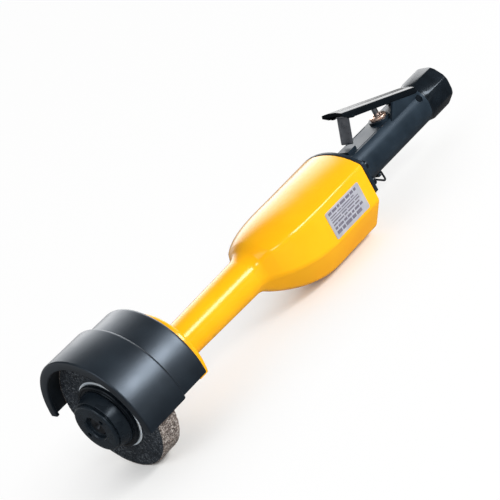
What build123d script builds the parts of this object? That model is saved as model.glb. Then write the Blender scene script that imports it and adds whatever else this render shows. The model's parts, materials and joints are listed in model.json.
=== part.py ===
from build123d import *
import math
import os

# Air-driven straight grinder. Millimetres, +Z up, lever on top.
# The tool axis is X: the origin is the mouth of the air inlet and +X runs to the wheel.

# Inlet bushing
inlet_bore_radius = 7.48
inlet_bore_depth = 12.0
inlet_length = 36.0
mouth_radius = 15.0
mouth_length = 3.5
octagon_flats = 38.4
octagon_rear_radius = 19.7
octagon_rear_chamfer = 1.5
octagon_front_chamfer = 7.5
inlet_collar_radius = 18.5
inlet_collar_length = 2.5
nipple_radius = 12.5
screen_thickness = 1.0
screen_hole_radius = 1.1
screen_hole_count = 6

# Throttle handle
handle_radius = 18.6
handle_length = 116.0
handle_flat_height = 14.0
flange_thickness = 3.4
flange_low_edge = -12.0
groove_width = 1.2
groove_depth = 0.9
groove_length = 46.0
inlet_passage_radius = 6.0
inlet_passage_drop = 4.0
outlet_passage_radius = 3.2
outlet_passage_rise = 4.4

# Lever, its cheeks and its pin
lever_pin_behind_valve = 38.0
lever_pin_height = 9.6
lever_pin_radius = 2.0
pin_head_radius = 3.2
pin_head_thickness = 1.0
lever_tilt = 18.9
lever_reach = 92.0
lever_top_height = 10.2
lever_crown = 1.4
lever_width = 24.0
lever_sheet = 2.0
lever_side_depth = 5.8
lever_front_depth = 5.4
lever_lip_depth = 2.6
lever_taper_reach = 52.0
lever_wall_reach = 85.0
lever_ear_radius = 4.4
lever_edge_radius = 1.4
cheek_thickness = 2.2
cheek_front_reach = 39.5
far_cheek_reach = 12.0
cheek_front_slope = 9.5
cheek_top_drop = 5.4
side_gap = 0.4
slot_gap = 0.8

# Lock lever at the front of the throttle lever
lock_pin_reach = 79.8
lock_pin_rise = 5.7
lock_pin_radius = 1.2
lock_hub_radius = 1.9
lock_width = 12.0
lock_thickness = 2.5
lock_leg_length = 24.0
lock_leg_angle = -65.5
lock_stop_height = 2.6
lock_stop_length = 11.0
lock_stop_setback = 2.0
lock_spring_radius = 1.75
lock_spring_wire = 0.7
lock_spring_turns = 2
lock_spring_pitch = 1.25

# Throttle valve
valve_station = 80.0
plunger_radius = 2.5
plunger_gap = 0.15
boss_radius = 9.5
boss_height = 2.5
bush_head_radius = 7.5
bush_head_height = 2.6
bush_thread_radius = 6.45
bush_thread_length = 8.0
seal_radius = 4.0
seal_thickness = 1.8
valve_seat_height = -1.0
valve_port_radius = 5.0
valve_disc_radius = 6.3
valve_disc_thickness = 3.0
valve_stem_radius = 2.2
valve_guide_length = 3.4
valve_chamber_radius = 7.5
valve_chamber_depth = 12.5
plug_radius = 8.45
plug_thickness = 2.9
plug_slot = 1.6
valve_spring_radius = 4.4
valve_spring_wire = 0.9
valve_spring_turns = 4

# Hanging loop under the handle
loop_station = 111.0
loop_wire_radius = 0.9
loop_top_rear = 4.5
loop_top_front = 8.0
loop_drop = 10.5
loop_skew = 5.5
loop_corner_radius = 1.2
loop_axis_drop = 2.4
loop_hole_gap = 0.35
lug_length = 3.2
lug_thickness = 4.0
lug_wall = 1.2

# Motor casing: half width, top and bottom of its section, and the corners that join them
gasket_thickness = 0.8
casing_length = 126.0
casing_straight = 54.0
casing_half_width = 38.0
casing_rear_top = 29.0
casing_front_top = 27.8
casing_bottom = 48.5
ridge_share = 0.545
lower_edge_share = 0.39
keel_width_share = 0.53
keel_height_share = 0.9
ridge_radius = 3.5
lower_edge_radius = 6.0
keel_radius = 10.0
casing_root_radius = 17.0
root_corner_radius = 8.0
side_swell_power = 3.2
top_swell_power = 0.7
keel_swell_power = 0.9

# Neck and front flange
neck_length = 103.0
neck_rear_radius = 16.8
neck_front_radius = 15.0
neck_bore_radius = 11.0
neck_fillet = 8.0
spigot_radius = 13.5
front_flange_radius = 42.0
front_flange_thickness = 10.3
front_flange_edge = 3.0
front_flange_low_edge = -13.0
hub_radius = 24.0

# Exhaust
exhaust_wall = 7.0
exhaust_length = 62.0
exhaust_half_width = 21.0
exhaust_floor = 43.5
exhaust_roof = 24.0
exhaust_taper = 7.0
exhaust_slot_width = 3.0
exhaust_slot_pitch = 6.0
exhaust_slot_count = 5
exhaust_slot_low = 40.0
exhaust_slot_high = 29.0
silencer_length = 34.0

# Nameplate on the side facet
plate_length = 46.5
plate_height = 24.7
plate_thickness = 0.8
plate_sink = 0.4
plate_setback = 36.3
plate_centre_height = -4.4
plate_corner = 1.0

# Air motor
motor_bore_radius = 26.0
rear_plate_thickness = 15.5
cylinder_length = 52.0
front_plate_thickness = 12.0
cylinder_bore_radius = 20.95
cylinder_offset = 2.4
rotor_radius = 18.2
rotor_end_gap = 0.4
rotor_shaft_radius = 5.95
vane_count = 4
vane_thickness = 4.0
vane_depth = 8.8
rotor_bearing_radius = 14.0
rotor_bearing_width = 8.0
shaft_hole_radius = 6.8
exhaust_port_width = 16.0
exhaust_port_length = 6.0

# Spindle and its bearings
spindle_radius = 7.45
spindle_bearing_radius = 17.5
spindle_bearing_width = 11.0
rear_pocket_depth = 37.0
spindle_tail_length = 14.0
coupling_radius = 10.0
coupling_length = 20.0
coupling_start_gap = 2.0
spindle_collar_radius = 11.0
spindle_thread_radius = 7.9
spindle_end_setback = 3.0
spindle_centre_radius = 3.2
spindle_centre_depth = 2.8
running_gap = 0.05
seat_gap = 0.05
bearing_groove = 0.8
cap_thickness = 4.0
cap_hole_radius = 9.0
cap_collar_gap = 1.5
cap_screw_circle = 20.7
cap_screw_count = 3

# Guard
guard_wheel_gap = 5.2
guard_step_height = 4.0
guard_drum_length = 40.5
guard_collar_length = 29.0
guard_wall = 3.0
guard_back_wall = 4.0
guard_lip_depth = 4.7
guard_turn = -5.0
guard_edge_radius = 1.2
guard_collar_edge = 3.0
guard_screw_circle = 33.0
guard_screw_angles = (35.0, 90.0, 145.0)

# Wheel and its flanges
wheel_radius = 50.0
wheel_thickness = 19.0
wheel_bore_radius = 7.94
wheel_setback = 12.3
wheel_edge = 0.8
blotter_radius = 30.0
blotter_thickness = 0.6
outer_flange_radius = 28.5
outer_flange_thickness = 3.4
inner_flange_radius = 29.0
inner_flange_thickness = 9.0
inner_hub_radius = 14.0
inner_hub_length = 16.0
nut_radius = 21.4
nut_height = 13.3
nut_seat_radius = 24.6
nut_seat_chamfer = 0.8
nut_groove_width = 0.8
nut_groove_depth = 1.6
nut_disc_radius = 20.7
nut_disc_thickness = 2.6
nut_disc_round = 1.8
nut_recess_radius = 9.6
nut_recess_depth = 3.5
nut_pin_hole_radius = 1.9
nut_pin_hole_depth = 6.0
nut_pin_hole_circle = 13.6
nut_pin_hole_angle = 27.0

# Socket head screws: shank radius, head radius, head height
guard_screw = (3.0, 5.0, 6.0)
housing_screw = (2.5, 4.2, 5.0)
cap_screw = (1.5, 2.6, 3.0)
guard_screw_grip = 7.5
housing_screw_grip = 12.0
cap_screw_grip = 5.0
housing_screw_spots = ((31.0, 10.0), (31.0, -5.5))
screw_gap = 0.05
hole_gap = 0.25

# Stations along the axis, worked out from the lengths above
nipple_start = inlet_bore_depth + screen_thickness
handle_front = inlet_length + handle_length
flange_front = handle_front + flange_thickness
casing_rear = flange_front + gasket_thickness
plate_station = casing_rear + plate_setback
neck_root = casing_rear + casing_length
neck_front = neck_root + neck_length
front_face = neck_front + front_flange_thickness
guard_radius = wheel_radius + guard_wheel_gap + guard_wall
guard_collar_radius = guard_radius - guard_step_height
guard_lip_radius = guard_radius - guard_wall - guard_lip_depth
guard_step = front_face + guard_collar_length
guard_front = guard_step + guard_drum_length
wheel_front = guard_front - wheel_setback
wheel_rear = wheel_front - wheel_thickness
outer_flange_front = wheel_front + blotter_thickness + outer_flange_thickness
nut_front = outer_flange_front + nut_height
spindle_end = nut_front - spindle_end_setback
inner_flange_front = wheel_rear - blotter_thickness
inner_hub_rear = inner_flange_front - inner_flange_thickness - inner_hub_length
rear_plate_front = casing_rear + rear_plate_thickness
cylinder_front = rear_plate_front + cylinder_length
motor_end = cylinder_front + front_plate_thickness
rear_pocket_end = motor_end + rear_pocket_depth
rear_bearing_start = rear_pocket_end - spindle_bearing_width
front_bearing_start = front_face - spindle_bearing_width
coupling_start = motor_end + coupling_start_gap
coupling_end = coupling_start + coupling_length
spindle_tail = rear_bearing_start - spindle_tail_length
cap_front = front_face + cap_thickness
lever_pin_station = valve_station - lever_pin_behind_valve
boss_top = handle_flat_height + boss_height
valve_chamber_floor = valve_seat_height - valve_chamber_depth
cheek_inner = lever_width / 2 + side_gap
cheek_outer = cheek_inner + cheek_thickness
loop_axis_height = -handle_radius - loop_axis_drop
tilt_cos = math.cos(math.radians(lever_tilt))
tilt_sin = math.sin(math.radians(lever_tilt))


def rod(radius, start, end, y=0, z=0):
    return Pos((start + end) / 2, y, z) * Rot(0, 90, 0) * Cylinder(radius, end - start)


def post(radius, low, high, x, y=0):
    return Pos(x, y, (low + high) / 2) * Cylinder(radius, high - low)


def cross_rod(radius, left, right, x, z):
    return Pos(x, (left + right) / 2, z) * Rot(90, 0, 0) * Cylinder(radius, right - left)


def block(x0, x1, y0, y1, z0, z1):
    return Pos((x0 + x1) / 2, (y0 + y1) / 2, (z0 + z1) / 2) * Box(x1 - x0, y1 - y0, z1 - z0)


def ring(outer, inner, start, end):
    return rod(outer, start, end) - rod(inner, start, end)


def turned(points, arc=360):
    # A solid of revolution about X from points given as station and radius
    outline = make_face(Polyline(*[(x, r) for x, r in points], close=True))
    return revolve(outline, Axis.X, arc)


def side_plate(points, y0, y1):
    # A plate standing along X, from points given as station and height
    outline = Plane.XZ * make_face(Polyline(*points, close=True))
    return extrude(outline, amount=y1 - y0, dir=(0, 1, 0)).moved(Pos(0, y0, 0))


def on_lever(reach, rise):
    # Lever distances, along it and square to it from its pin, turned to station and height
    x = lever_pin_station + reach * tilt_cos - rise * tilt_sin
    z = lever_pin_height + reach * tilt_sin + rise * tilt_cos
    return (x, z)


def lever_plate(points, y0, y1):
    return side_plate([on_lever(*point) for point in points], y0, y1)


def lever_rod(radius, left, right, reach, rise):
    x, z = on_lever(reach, rise)
    return cross_rod(radius, left, right, x, z)


def lever_bar(radius, rise, length):
    # A round bar along the lever, centred on its pin
    place = Pos(lever_pin_station, 0, lever_pin_height) * Rot(0, -lever_tilt, 0) * Pos(0, 0, rise)
    return place * Rot(0, 90, 0) * Cylinder(radius, 2 * length)


def octagon(flats, start, end):
    # Eight flats, with one of them facing up
    outline = Plane.YZ.offset(start) * Rot(0, 0, 180 / 8) * RegularPolygon(flats / 2, 8, major_radius=False)
    return extrude(outline, amount=end - start, dir=(1, 0, 0))


def around(count_or_angles, radius):
    # Places on a circle about the axis, as y and z
    angles = count_or_angles
    if isinstance(count_or_angles, int):
        angles = [90 + 360 * i / count_or_angles for i in range(count_or_angles)]
    return [(radius * math.cos(math.radians(a)), radius * math.sin(math.radians(a))) for a in angles]


def socket_screw(sizes, head_start, direction, grip, y, z):
    # The head sits on its seat at head_start, and the shank runs along direction
    shank_radius, head_radius, head_height = sizes
    ends = sorted((head_start, head_start - direction * head_height))
    shank = sorted((head_start, head_start + direction * grip))
    socket = sorted((head_start - direction * head_height, head_start - direction * head_height * 0.4))
    body = rod(head_radius, *ends, y, z) + rod(shank_radius, *shank, y, z)
    outline = Plane.YZ.offset(socket[0]) * Pos(y, z) * RegularPolygon(shank_radius * 0.9, 6)
    return body - extrude(outline, amount=socket[1] - socket[0], dir=(1, 0, 0))


def ball_bearing(inner, outer, start, end):
    # One ring per bearing, with the shield's step on both faces
    groove_inner = inner + (outer - inner) * 0.28
    groove_outer = outer - (outer - inner) * 0.28
    body = ring(outer, inner, start, end)
    body -= ring(groove_outer, groove_inner, start, start + bearing_groove)
    return body - ring(groove_outer, groove_inner, end - bearing_groove, end)


def coil(radius, wire, pitch, turns):
    # One unbroken wire about Z on arcs: each quarter turn is two arcs that meet with no kink
    step = math.pi / 4
    rise = pitch / (2 * math.pi)
    start_run = radius * math.sin(step)
    middle = radius * radius * math.sin(step) * math.cos(step) + rise * rise * step
    span = start_run ** 2 + (rise * step) ** 2
    inset = (-middle + math.sqrt(middle ** 2 + start_run ** 2 * span)) / start_run
    joint_radius = radius * math.cos(step) + inset

    def spot(angle, distance):
        return Vector(distance * math.cos(angle), distance * math.sin(angle), rise * angle)

    def heading(angle):
        return Vector(-radius * math.sin(angle), radius * math.cos(angle), rise)

    arcs = []
    for quarter in range(4 * turns):
        angle = 2 * step * quarter
        first = TangentArc(spot(angle, radius), spot(angle + step, joint_radius), tangent=heading(angle))
        arcs.append(first)
        arcs.append(TangentArc(first @ 1, spot(angle + 2 * step, radius), tangent=first % 1))
    path = Wire(arcs)
    section = Plane(origin=path @ 0, z_dir=path % 0) * Circle(wire / 2)
    return sweep(section, path=path)


def casing_section(half_width, top, bottom, corners):
    # Crowned top, upright sides, sloping lower sides and a rounded keel, in the YZ plane
    ridge = (half_width, top * ridge_share)
    low = (half_width, -bottom * lower_edge_share)
    keel = (half_width * keel_width_share, -bottom * keel_height_share)
    crown = ThreePointArc((-ridge[0], ridge[1]), (0, top), ridge)
    sides = Polyline(ridge, low, keel)
    floor = ThreePointArc(keel, (0, -bottom), (-keel[0], keel[1]))
    other = Polyline((-keel[0], keel[1]), (-low[0], low[1]), (-ridge[0], ridge[1]))
    outline = make_face(Curve() + crown + sides + floor + other)
    for (y, z), radius in zip((ridge, low, keel), corners):
        for side in (1, -1):
            corner = outline.vertices().sort_by_distance((side * y, z, 0))[0]
            outline = fillet(corner, radius)
    return outline


def rear_section():
    corners = (ridge_radius, lower_edge_radius, keel_radius)
    return casing_section(casing_half_width, casing_rear_top, casing_bottom, corners)


def bulb_section(share):
    # The casing between the neck's root at 0 and its straight length at 1
    side_growth = 1 - (1 - share) ** side_swell_power
    keel_growth = math.sin(math.pi / 2 * share) ** keel_swell_power

    def swell(end, growth):
        return casing_root_radius + (end - casing_root_radius) * growth

    half_width = swell(casing_half_width, side_growth)
    top = swell(casing_front_top, side_growth ** top_swell_power)
    bottom = swell(casing_bottom, keel_growth)
    corners = [root_corner_radius + (radius - root_corner_radius) * share
               for radius in (ridge_radius, lower_edge_radius, keel_radius)]
    return casing_section(half_width, top, bottom, corners)


def casing_body():
    bulb_rear = casing_rear + casing_straight
    bulb_length = neck_root - bulb_rear
    straight = loft([(Plane.YZ.offset(casing_rear) * rear_section()).face(),
                     (Plane.YZ.offset(bulb_rear) * bulb_section(1.0)).face()])
    faces = []
    for share in (0.0, 0.05, 0.13, 0.24, 0.38, 0.54, 0.7, 0.85, 1.0):
        faces.append((Plane.YZ.offset(neck_root - share * bulb_length) * bulb_section(share)).face())
    return straight + loft(faces)


def neck_housing():
    edge = front_flange_edge
    corner = math.sqrt(0.5)
    fillet_centre = (neck_front - neck_fillet, neck_front_radius + neck_fillet)
    fillet_middle = (fillet_centre[0] + neck_fillet * corner, fillet_centre[1] - neck_fillet * corner)
    edge_middle = (neck_front + edge * (1 - corner), front_flange_radius - edge * (1 - corner))
    outline = Curve() + [
        Polyline((front_face, 0), (rear_pocket_end, 0), (rear_pocket_end, spigot_radius),
                 (neck_root, spigot_radius), (neck_root, neck_rear_radius),
                 (fillet_centre[0], neck_front_radius)),
        ThreePointArc((fillet_centre[0], neck_front_radius), fillet_middle, (neck_front, fillet_centre[1])),
        Line((neck_front, fillet_centre[1]), (neck_front, front_flange_radius - edge)),
        ThreePointArc((neck_front, front_flange_radius - edge), edge_middle,
                      (neck_front + edge, front_flange_radius)),
        Polyline((neck_front + edge, front_flange_radius), (front_face, front_flange_radius), (front_face, 0)),
    ]
    body = revolve(make_face(outline), Axis.X)
    reach = front_flange_radius * 1.1
    below = block(neck_front, front_face, -reach, reach, -reach, front_flange_low_edge)
    body -= below - rod(hub_radius, neck_front, front_face)
    body -= rod(neck_bore_radius, rear_pocket_end, front_bearing_start)
    body -= rod(spindle_bearing_radius + seat_gap, front_bearing_start, front_face)
    for y, z in guard_screw_places():
        body -= rod(guard_screw[0] + screw_gap, cap_front - guard_screw_grip - 5, front_face, y, z)
    for y, z in around(cap_screw_count, cap_screw_circle):
        body -= rod(cap_screw[0] + screw_gap, cap_front - cap_screw_grip - cap_thickness, front_face, y, z)
    return body


def exhaust_space(gap, start, end):
    floor = -exhaust_floor + gap
    roof = -exhaust_roof
    wide = exhaust_half_width - gap
    narrow = wide - exhaust_taper
    outline = Polyline((wide, roof), (narrow, floor), (-narrow, floor), (-wide, roof), close=True)
    return extrude(Plane.YZ.offset(start) * make_face(outline), amount=end - start, dir=(1, 0, 0))


def motor_housing():
    body = casing_body()
    body -= rod(motor_bore_radius, casing_rear, motor_end)
    body -= rod(spindle_bearing_radius + seat_gap, motor_end, rear_pocket_end)
    body -= rod(spigot_radius + seat_gap, rear_pocket_end, neck_root)
    cavity_start = casing_rear + exhaust_wall
    body -= exhaust_space(0, cavity_start, cavity_start + exhaust_length)
    for i in range(exhaust_slot_count):
        y = (i - (exhaust_slot_count - 1) / 2) * exhaust_slot_pitch
        half = exhaust_slot_width / 2
        body -= block(casing_rear, cavity_start, y - half, y + half, -exhaust_slot_low, -exhaust_slot_high)
    sink = casing_half_width - plate_sink
    half_length = plate_length / 2 + hole_gap
    half_height = plate_height / 2 + hole_gap
    body -= block(plate_station - half_length, plate_station + half_length, sink, casing_half_width + 1,
                  plate_centre_height - half_height, plate_centre_height + half_height)
    for y, z in housing_screw_places():
        body -= rod(housing_screw[0] + screw_gap, casing_rear, handle_front + housing_screw_grip + 5, y, z)
    return body


def housing_screw_places():
    return [(side * y, z) for y, z in housing_screw_spots for side in (1, -1)]


def guard_screw_places():
    return around([angle + guard_turn for angle in guard_screw_angles], guard_screw_circle)


def nameplate():
    low = casing_half_width - plate_sink
    body = block(plate_station - plate_length / 2, plate_station + plate_length / 2, low, low + plate_thickness,
                 plate_centre_height - plate_height / 2, plate_centre_height + plate_height / 2)
    return fillet(body.edges().filter_by(Axis.Y), plate_corner)


def flange_outline(start):
    reach = casing_half_width * 2
    keep = Pos(0, flange_low_edge + reach / 2) * Rectangle(reach, reach)
    return Plane.YZ.offset(start) * (rear_section() & keep)


def rear_gasket():
    body = extrude(flange_outline(flange_front), amount=gasket_thickness, dir=(1, 0, 0))
    body -= rod(spindle_bearing_radius, flange_front, casing_rear)
    for y, z in housing_screw_places():
        body -= rod(housing_screw[0] + hole_gap, flange_front, casing_rear, y, z)
    return body


def cheek_outline(front_reach):
    slope_reach = front_reach - cheek_front_slope
    front = lever_pin_station + front_reach
    top_front = on_lever(slope_reach / tilt_cos, lever_top_height - cheek_top_drop)
    rear = inlet_length + 1.5
    rear_top = on_lever(0, lever_top_height - cheek_top_drop)
    return [(rear, 0), (front, 0), (front, handle_flat_height - 1.6), top_front, rear_top, (rear, rear_top[1] - 2)]


def lever_cheeks():
    # The far cheek only carries the pin; the near one also shields the lever's hinge
    near = side_plate(cheek_outline(cheek_front_reach), cheek_inner, cheek_outer)
    return near + side_plate(cheek_outline(far_cheek_reach), -cheek_outer, -cheek_inner)


def lock_places():
    # The lock pin, the end of the leg and the station of the stop under it
    pin = on_lever(lock_pin_reach, lock_pin_rise)
    angle = math.radians(lock_leg_angle)
    foot = (pin[0] + lock_leg_length * math.cos(angle), pin[1] + lock_leg_length * math.sin(angle))
    return pin, foot, foot[0] - lock_stop_setback


def throttle_handle():
    body = rod(handle_radius, inlet_length, handle_front)
    reach = handle_radius * 1.1
    body -= block(inlet_length, handle_front, -reach, reach, handle_flat_height, reach)
    body += extrude(flange_outline(handle_front), amount=flange_thickness, dir=(1, 0, 0))
    body += rod(nipple_radius, nipple_start, inlet_length)
    body += lever_cheeks()
    body += post(boss_radius, 0, boss_top, valve_station)
    stop_start = lock_places()[2]
    body += block(stop_start, stop_start + lock_stop_length, -lock_width / 2, lock_width / 2,
                  0, handle_flat_height + lock_stop_height)
    half_lug = lug_length / 2
    lug_low = loop_axis_height - loop_wire_radius - loop_hole_gap - lug_wall
    body += block(loop_station - half_lug, loop_station + half_lug, -lug_thickness / 2, lug_thickness / 2,
                  lug_low, 0)
    body -= rod(loop_wire_radius + loop_hole_gap, loop_station - half_lug, loop_station + half_lug,
                0, loop_axis_height)
    body -= rod(inlet_passage_radius, nipple_start, valve_station, 0, -inlet_passage_drop)
    body -= rod(outlet_passage_radius, valve_station, flange_front, 0, outlet_passage_rise)
    body -= post(valve_port_radius, valve_seat_height, boss_top, valve_station)
    body -= post(bush_thread_radius + screw_gap, boss_top - bush_thread_length, boss_top, valve_station)
    body -= post(valve_chamber_radius, valve_chamber_floor, valve_seat_height, valve_station)
    body -= post(plug_radius + screw_gap, -reach, valve_chamber_floor, valve_station)
    slot_low = lever_pin_height - lever_ear_radius - slot_gap
    slot_start = lever_pin_station - lever_ear_radius - slot_gap
    slot_end = lever_pin_station + lever_ear_radius * 2.6
    slot_inner = lever_width / 2 - lever_sheet - side_gap
    for side in (1, -1):
        edges = sorted((side * slot_inner, side * cheek_inner))
        body -= block(slot_start, slot_end, *edges, slot_low, handle_flat_height)
        groove_edge = math.sqrt(handle_radius ** 2 - handle_flat_height ** 2) - groove_width
        edges = sorted((side * groove_edge, side * (groove_edge - groove_width)))
        groove_start = valve_station + boss_radius
        body -= block(groove_start, groove_start + groove_length, *edges,
                      handle_flat_height - groove_depth, handle_flat_height)
    body -= cross_rod(lever_pin_radius + seat_gap, -reach, reach, lever_pin_station, lever_pin_height)
    for side in (1, -1):
        edges = sorted((side * cheek_outer, side * reach))
        body -= cross_rod(pin_head_radius + hole_gap, *edges, lever_pin_station, lever_pin_height)
    for y, z in housing_screw_places():
        body -= rod(housing_screw[0] + hole_gap, handle_front, flange_front, y, z)
    return body


def inlet_bushing():
    corner = octagon_flats / 2 / math.cos(math.pi / 8)
    collar_start = inlet_length - inlet_collar_length
    envelope = turned([(0, 0), (0, mouth_radius), (mouth_length, mouth_radius), (mouth_length, octagon_rear_radius),
                       (mouth_length + octagon_rear_chamfer, corner), (collar_start - octagon_front_chamfer, corner),
                       (collar_start, inlet_collar_radius), (inlet_length, inlet_collar_radius), (inlet_length, 0)])
    body = octagon(octagon_flats, 0, inlet_length) & envelope
    body -= rod(inlet_bore_radius, 0, inlet_bore_depth)
    return body - rod(nipple_radius + seat_gap, inlet_bore_depth, inlet_length)


def inlet_screen():
    body = rod(nipple_radius - hole_gap, inlet_bore_depth, nipple_start)
    for y, z in around(screen_hole_count, inlet_bore_radius * 0.55) + [(0, 0)]:
        body -= rod(screen_hole_radius, inlet_bore_depth, nipple_start, y, z)
    return body


def throttle_lever():
    half = lever_width / 2
    top = lever_top_height
    low = top - lever_side_depth
    rear = -lever_ear_radius / 3
    front_low = top - lever_front_depth
    peak = top + lever_crown
    far = lever_reach + lever_ear_radius
    body = lever_plate([(rear, 0), (rear, peak), (lever_reach, peak), (lever_reach, top - lever_lip_depth),
                        (lever_wall_reach, front_low), (lever_taper_reach, low), (0, low), (0, 0)], -half, half)
    body += lever_plate([(-lever_ear_radius, 0), (rear, top), (lever_ear_radius * 3, low),
                         (lever_ear_radius, 0)], -half, half)
    # The top is crowned across its width
    crown_radius = (half ** 2 + lever_crown ** 2) / (2 * lever_crown)
    body &= lever_bar(crown_radius, peak - crown_radius, far)
    body += lever_rod(lever_ear_radius, -half, half, 0, 0)
    body += lever_rod(lock_hub_radius, -half, half, lock_pin_reach, lock_pin_rise)
    long_edges = body.edges().filter_by(Axis((0, 0, 0), (tilt_cos, 0, tilt_sin)))
    by_rise = long_edges.sort_by(lambda edge: edge.center().Z * tilt_cos - edge.center().X * tilt_sin)
    body = fillet(by_rise[-2:], lever_edge_radius)
    inner = half - lever_sheet
    body -= lever_plate([(-far, top - lever_sheet), (far, top - lever_sheet), (far, -far), (-far, -far)],
                        -inner, inner)
    body -= lever_rod(lever_pin_radius + running_gap, -half, half, 0, 0)
    return body - lever_rod(lock_pin_radius + seat_gap, -half, half, lock_pin_reach, lock_pin_rise)


def lever_pin():
    body = cross_rod(lever_pin_radius, -cheek_outer, cheek_outer, lever_pin_station, lever_pin_height)
    for side in (1, -1):
        edges = sorted((side * cheek_outer, side * (cheek_outer + pin_head_thickness)))
        body += cross_rod(pin_head_radius, *edges, lever_pin_station, lever_pin_height)
    return body


def lock_pin():
    half = lever_width / 2
    return lever_rod(lock_pin_radius, -half, half, lock_pin_reach, lock_pin_rise)


def lock_lever():
    half = lock_width / 2
    pin, foot, _ = lock_places()
    bar = lock_thickness / 2
    angle = math.radians(lock_leg_angle)
    along = (math.cos(angle), math.sin(angle))
    across = (-along[1] * bar, along[0] * bar)
    tip = (foot[0] - along[0] * bar, foot[1] - along[1] * bar)
    leg = side_plate([(pin[0] + across[0], pin[1] + across[1]), (tip[0] + across[0], tip[1] + across[1]),
                      (tip[0] - across[0], tip[1] - across[1]), (pin[0] - across[0], pin[1] - across[1])],
                     -half, half)
    body = leg + cross_rod(bar, -half, half, *tip)
    body += lever_rod(lock_hub_radius, -half, half, lock_pin_reach, lock_pin_rise)
    return body - lever_rod(lock_pin_radius + running_gap, -half, half, lock_pin_reach, lock_pin_rise)


def lock_spring():
    x, z = on_lever(lock_pin_reach, lock_pin_rise)
    start = lock_width / 2 + lock_spring_wire / 2 + side_gap
    body = coil(lock_spring_radius, lock_spring_wire, lock_spring_pitch, lock_spring_turns)
    print("lock spring gap", round(lock_spring_pitch - lock_spring_wire, 2))
    return Pos(x, start, z) * Rot(-90, 0, 0) * body


def valve_bush():
    top = boss_top + bush_head_height
    body = post(bush_head_radius, boss_top, top, valve_station)
    body = fillet(body.edges().group_by(Axis.Z)[-1], bush_head_height * 0.4)
    body += post(bush_thread_radius, boss_top - bush_thread_length, boss_top, valve_station)
    seal_low = boss_top - bush_thread_length / 2
    body -= post(seal_radius + seat_gap, seal_low, seal_low + seal_thickness, valve_station)
    return body - post(plunger_radius + running_gap, valve_seat_height, top, valve_station)


def plunger_seal():
    low = boss_top - bush_thread_length / 2
    body = post(seal_radius, low, low + seal_thickness, valve_station)
    return body - post(plunger_radius + running_gap, low, low + seal_thickness, valve_station)


def plunger_top():
    # The lever's underside over the plunger's front edge, where it is highest above the pin's line
    reach = (lever_pin_behind_valve - plunger_radius) / tilt_cos
    under = lever_top_height - lever_sheet
    return on_lever(reach, 0)[1] + under / tilt_cos - plunger_gap


def valve_plunger():
    low = valve_seat_height + valve_stem_radius
    top = plunger_top()
    body = post(plunger_radius, low, top, valve_station)
    return fillet(body.edges().group_by(Axis.Z)[-1], plunger_radius * 0.6)


def throttle_valve():
    disc_top = valve_seat_height - seat_gap
    disc_low = disc_top - valve_disc_thickness
    body = post(valve_disc_radius, disc_low, disc_top, valve_station)
    body += post(valve_stem_radius, disc_top, valve_seat_height + valve_stem_radius, valve_station)
    return body + post(valve_spring_radius - valve_spring_wire, disc_low - valve_guide_length, disc_low,
                       valve_station)


def valve_spring():
    low = valve_chamber_floor + valve_spring_wire / 2
    high = valve_seat_height - seat_gap - valve_disc_thickness - valve_spring_wire / 2
    pitch = (high - low) / valve_spring_turns
    print("valve spring gap", round(pitch - valve_spring_wire, 2))
    return Pos(valve_station, 0, low) * coil(valve_spring_radius, valve_spring_wire, pitch, valve_spring_turns)


def valve_plug():
    low = valve_chamber_floor - plug_thickness
    body = post(plug_radius, low, valve_chamber_floor, valve_station)
    return body - block(valve_station - plug_slot / 2, valve_station + plug_slot / 2, -plug_radius, plug_radius,
                        low, low + plug_slot)


def hanging_loop():
    top = loop_axis_height
    corners = [(loop_station - loop_top_rear, 0, top), (loop_station + loop_top_front, 0, top),
               (loop_station - loop_skew, 0, top - loop_drop)]
    path = FilletPolyline(*corners, radius=loop_corner_radius, close=True)
    section = Plane(origin=path @ 0, z_dir=path % 0) * Circle(loop_wire_radius)
    return sweep(section, path=path)


def exhaust_silencer():
    start = casing_rear + exhaust_wall + hole_gap
    body = exhaust_space(hole_gap, start, start + silencer_length)
    return body - rod(motor_bore_radius + hole_gap, start, start + silencer_length)


def motor_cylinder():
    body = rod(motor_bore_radius - seat_gap, rear_plate_front, cylinder_front)
    body -= rod(cylinder_bore_radius, rear_plate_front, cylinder_front, 0, -cylinder_offset)
    for share in (0.25, 0.5, 0.75):
        x = rear_plate_front + share * cylinder_length
        body -= block(x - exhaust_port_length / 2, x + exhaust_port_length / 2, -exhaust_port_width / 2,
                      exhaust_port_width / 2, -motor_bore_radius, -cylinder_bore_radius + cylinder_offset)
    return body


def rear_end_plate():
    body = rod(motor_bore_radius - seat_gap, casing_rear, rear_plate_front)
    pocket_end = rear_plate_front - rotor_end_gap * 10
    body -= rod(rotor_bearing_radius + seat_gap, casing_rear, pocket_end)
    return body - rod(shaft_hole_radius, pocket_end, rear_plate_front)


def front_end_plate():
    body = rod(motor_bore_radius - seat_gap, cylinder_front, motor_end)
    pocket_start = motor_end - rotor_bearing_width
    body -= rod(rotor_bearing_radius + seat_gap, pocket_start, motor_end)
    return body - rod(shaft_hole_radius, cylinder_front, pocket_start)


def rotor_rear_bearing():
    end = rear_plate_front - rotor_end_gap * 10
    return ball_bearing(rotor_shaft_radius + running_gap, rotor_bearing_radius, end - rotor_bearing_width, end)


def rotor_front_bearing():
    start = motor_end - rotor_bearing_width
    return ball_bearing(rotor_shaft_radius + running_gap, rotor_bearing_radius, start, motor_end)


def vane_boxes(thickness, depth, start, end):
    outer = rotor_radius
    box = block(start, end, -thickness / 2, thickness / 2, outer - depth, outer)
    return [Rot(360 * i / vane_count, 0, 0) * box for i in range(vane_count)]


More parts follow.
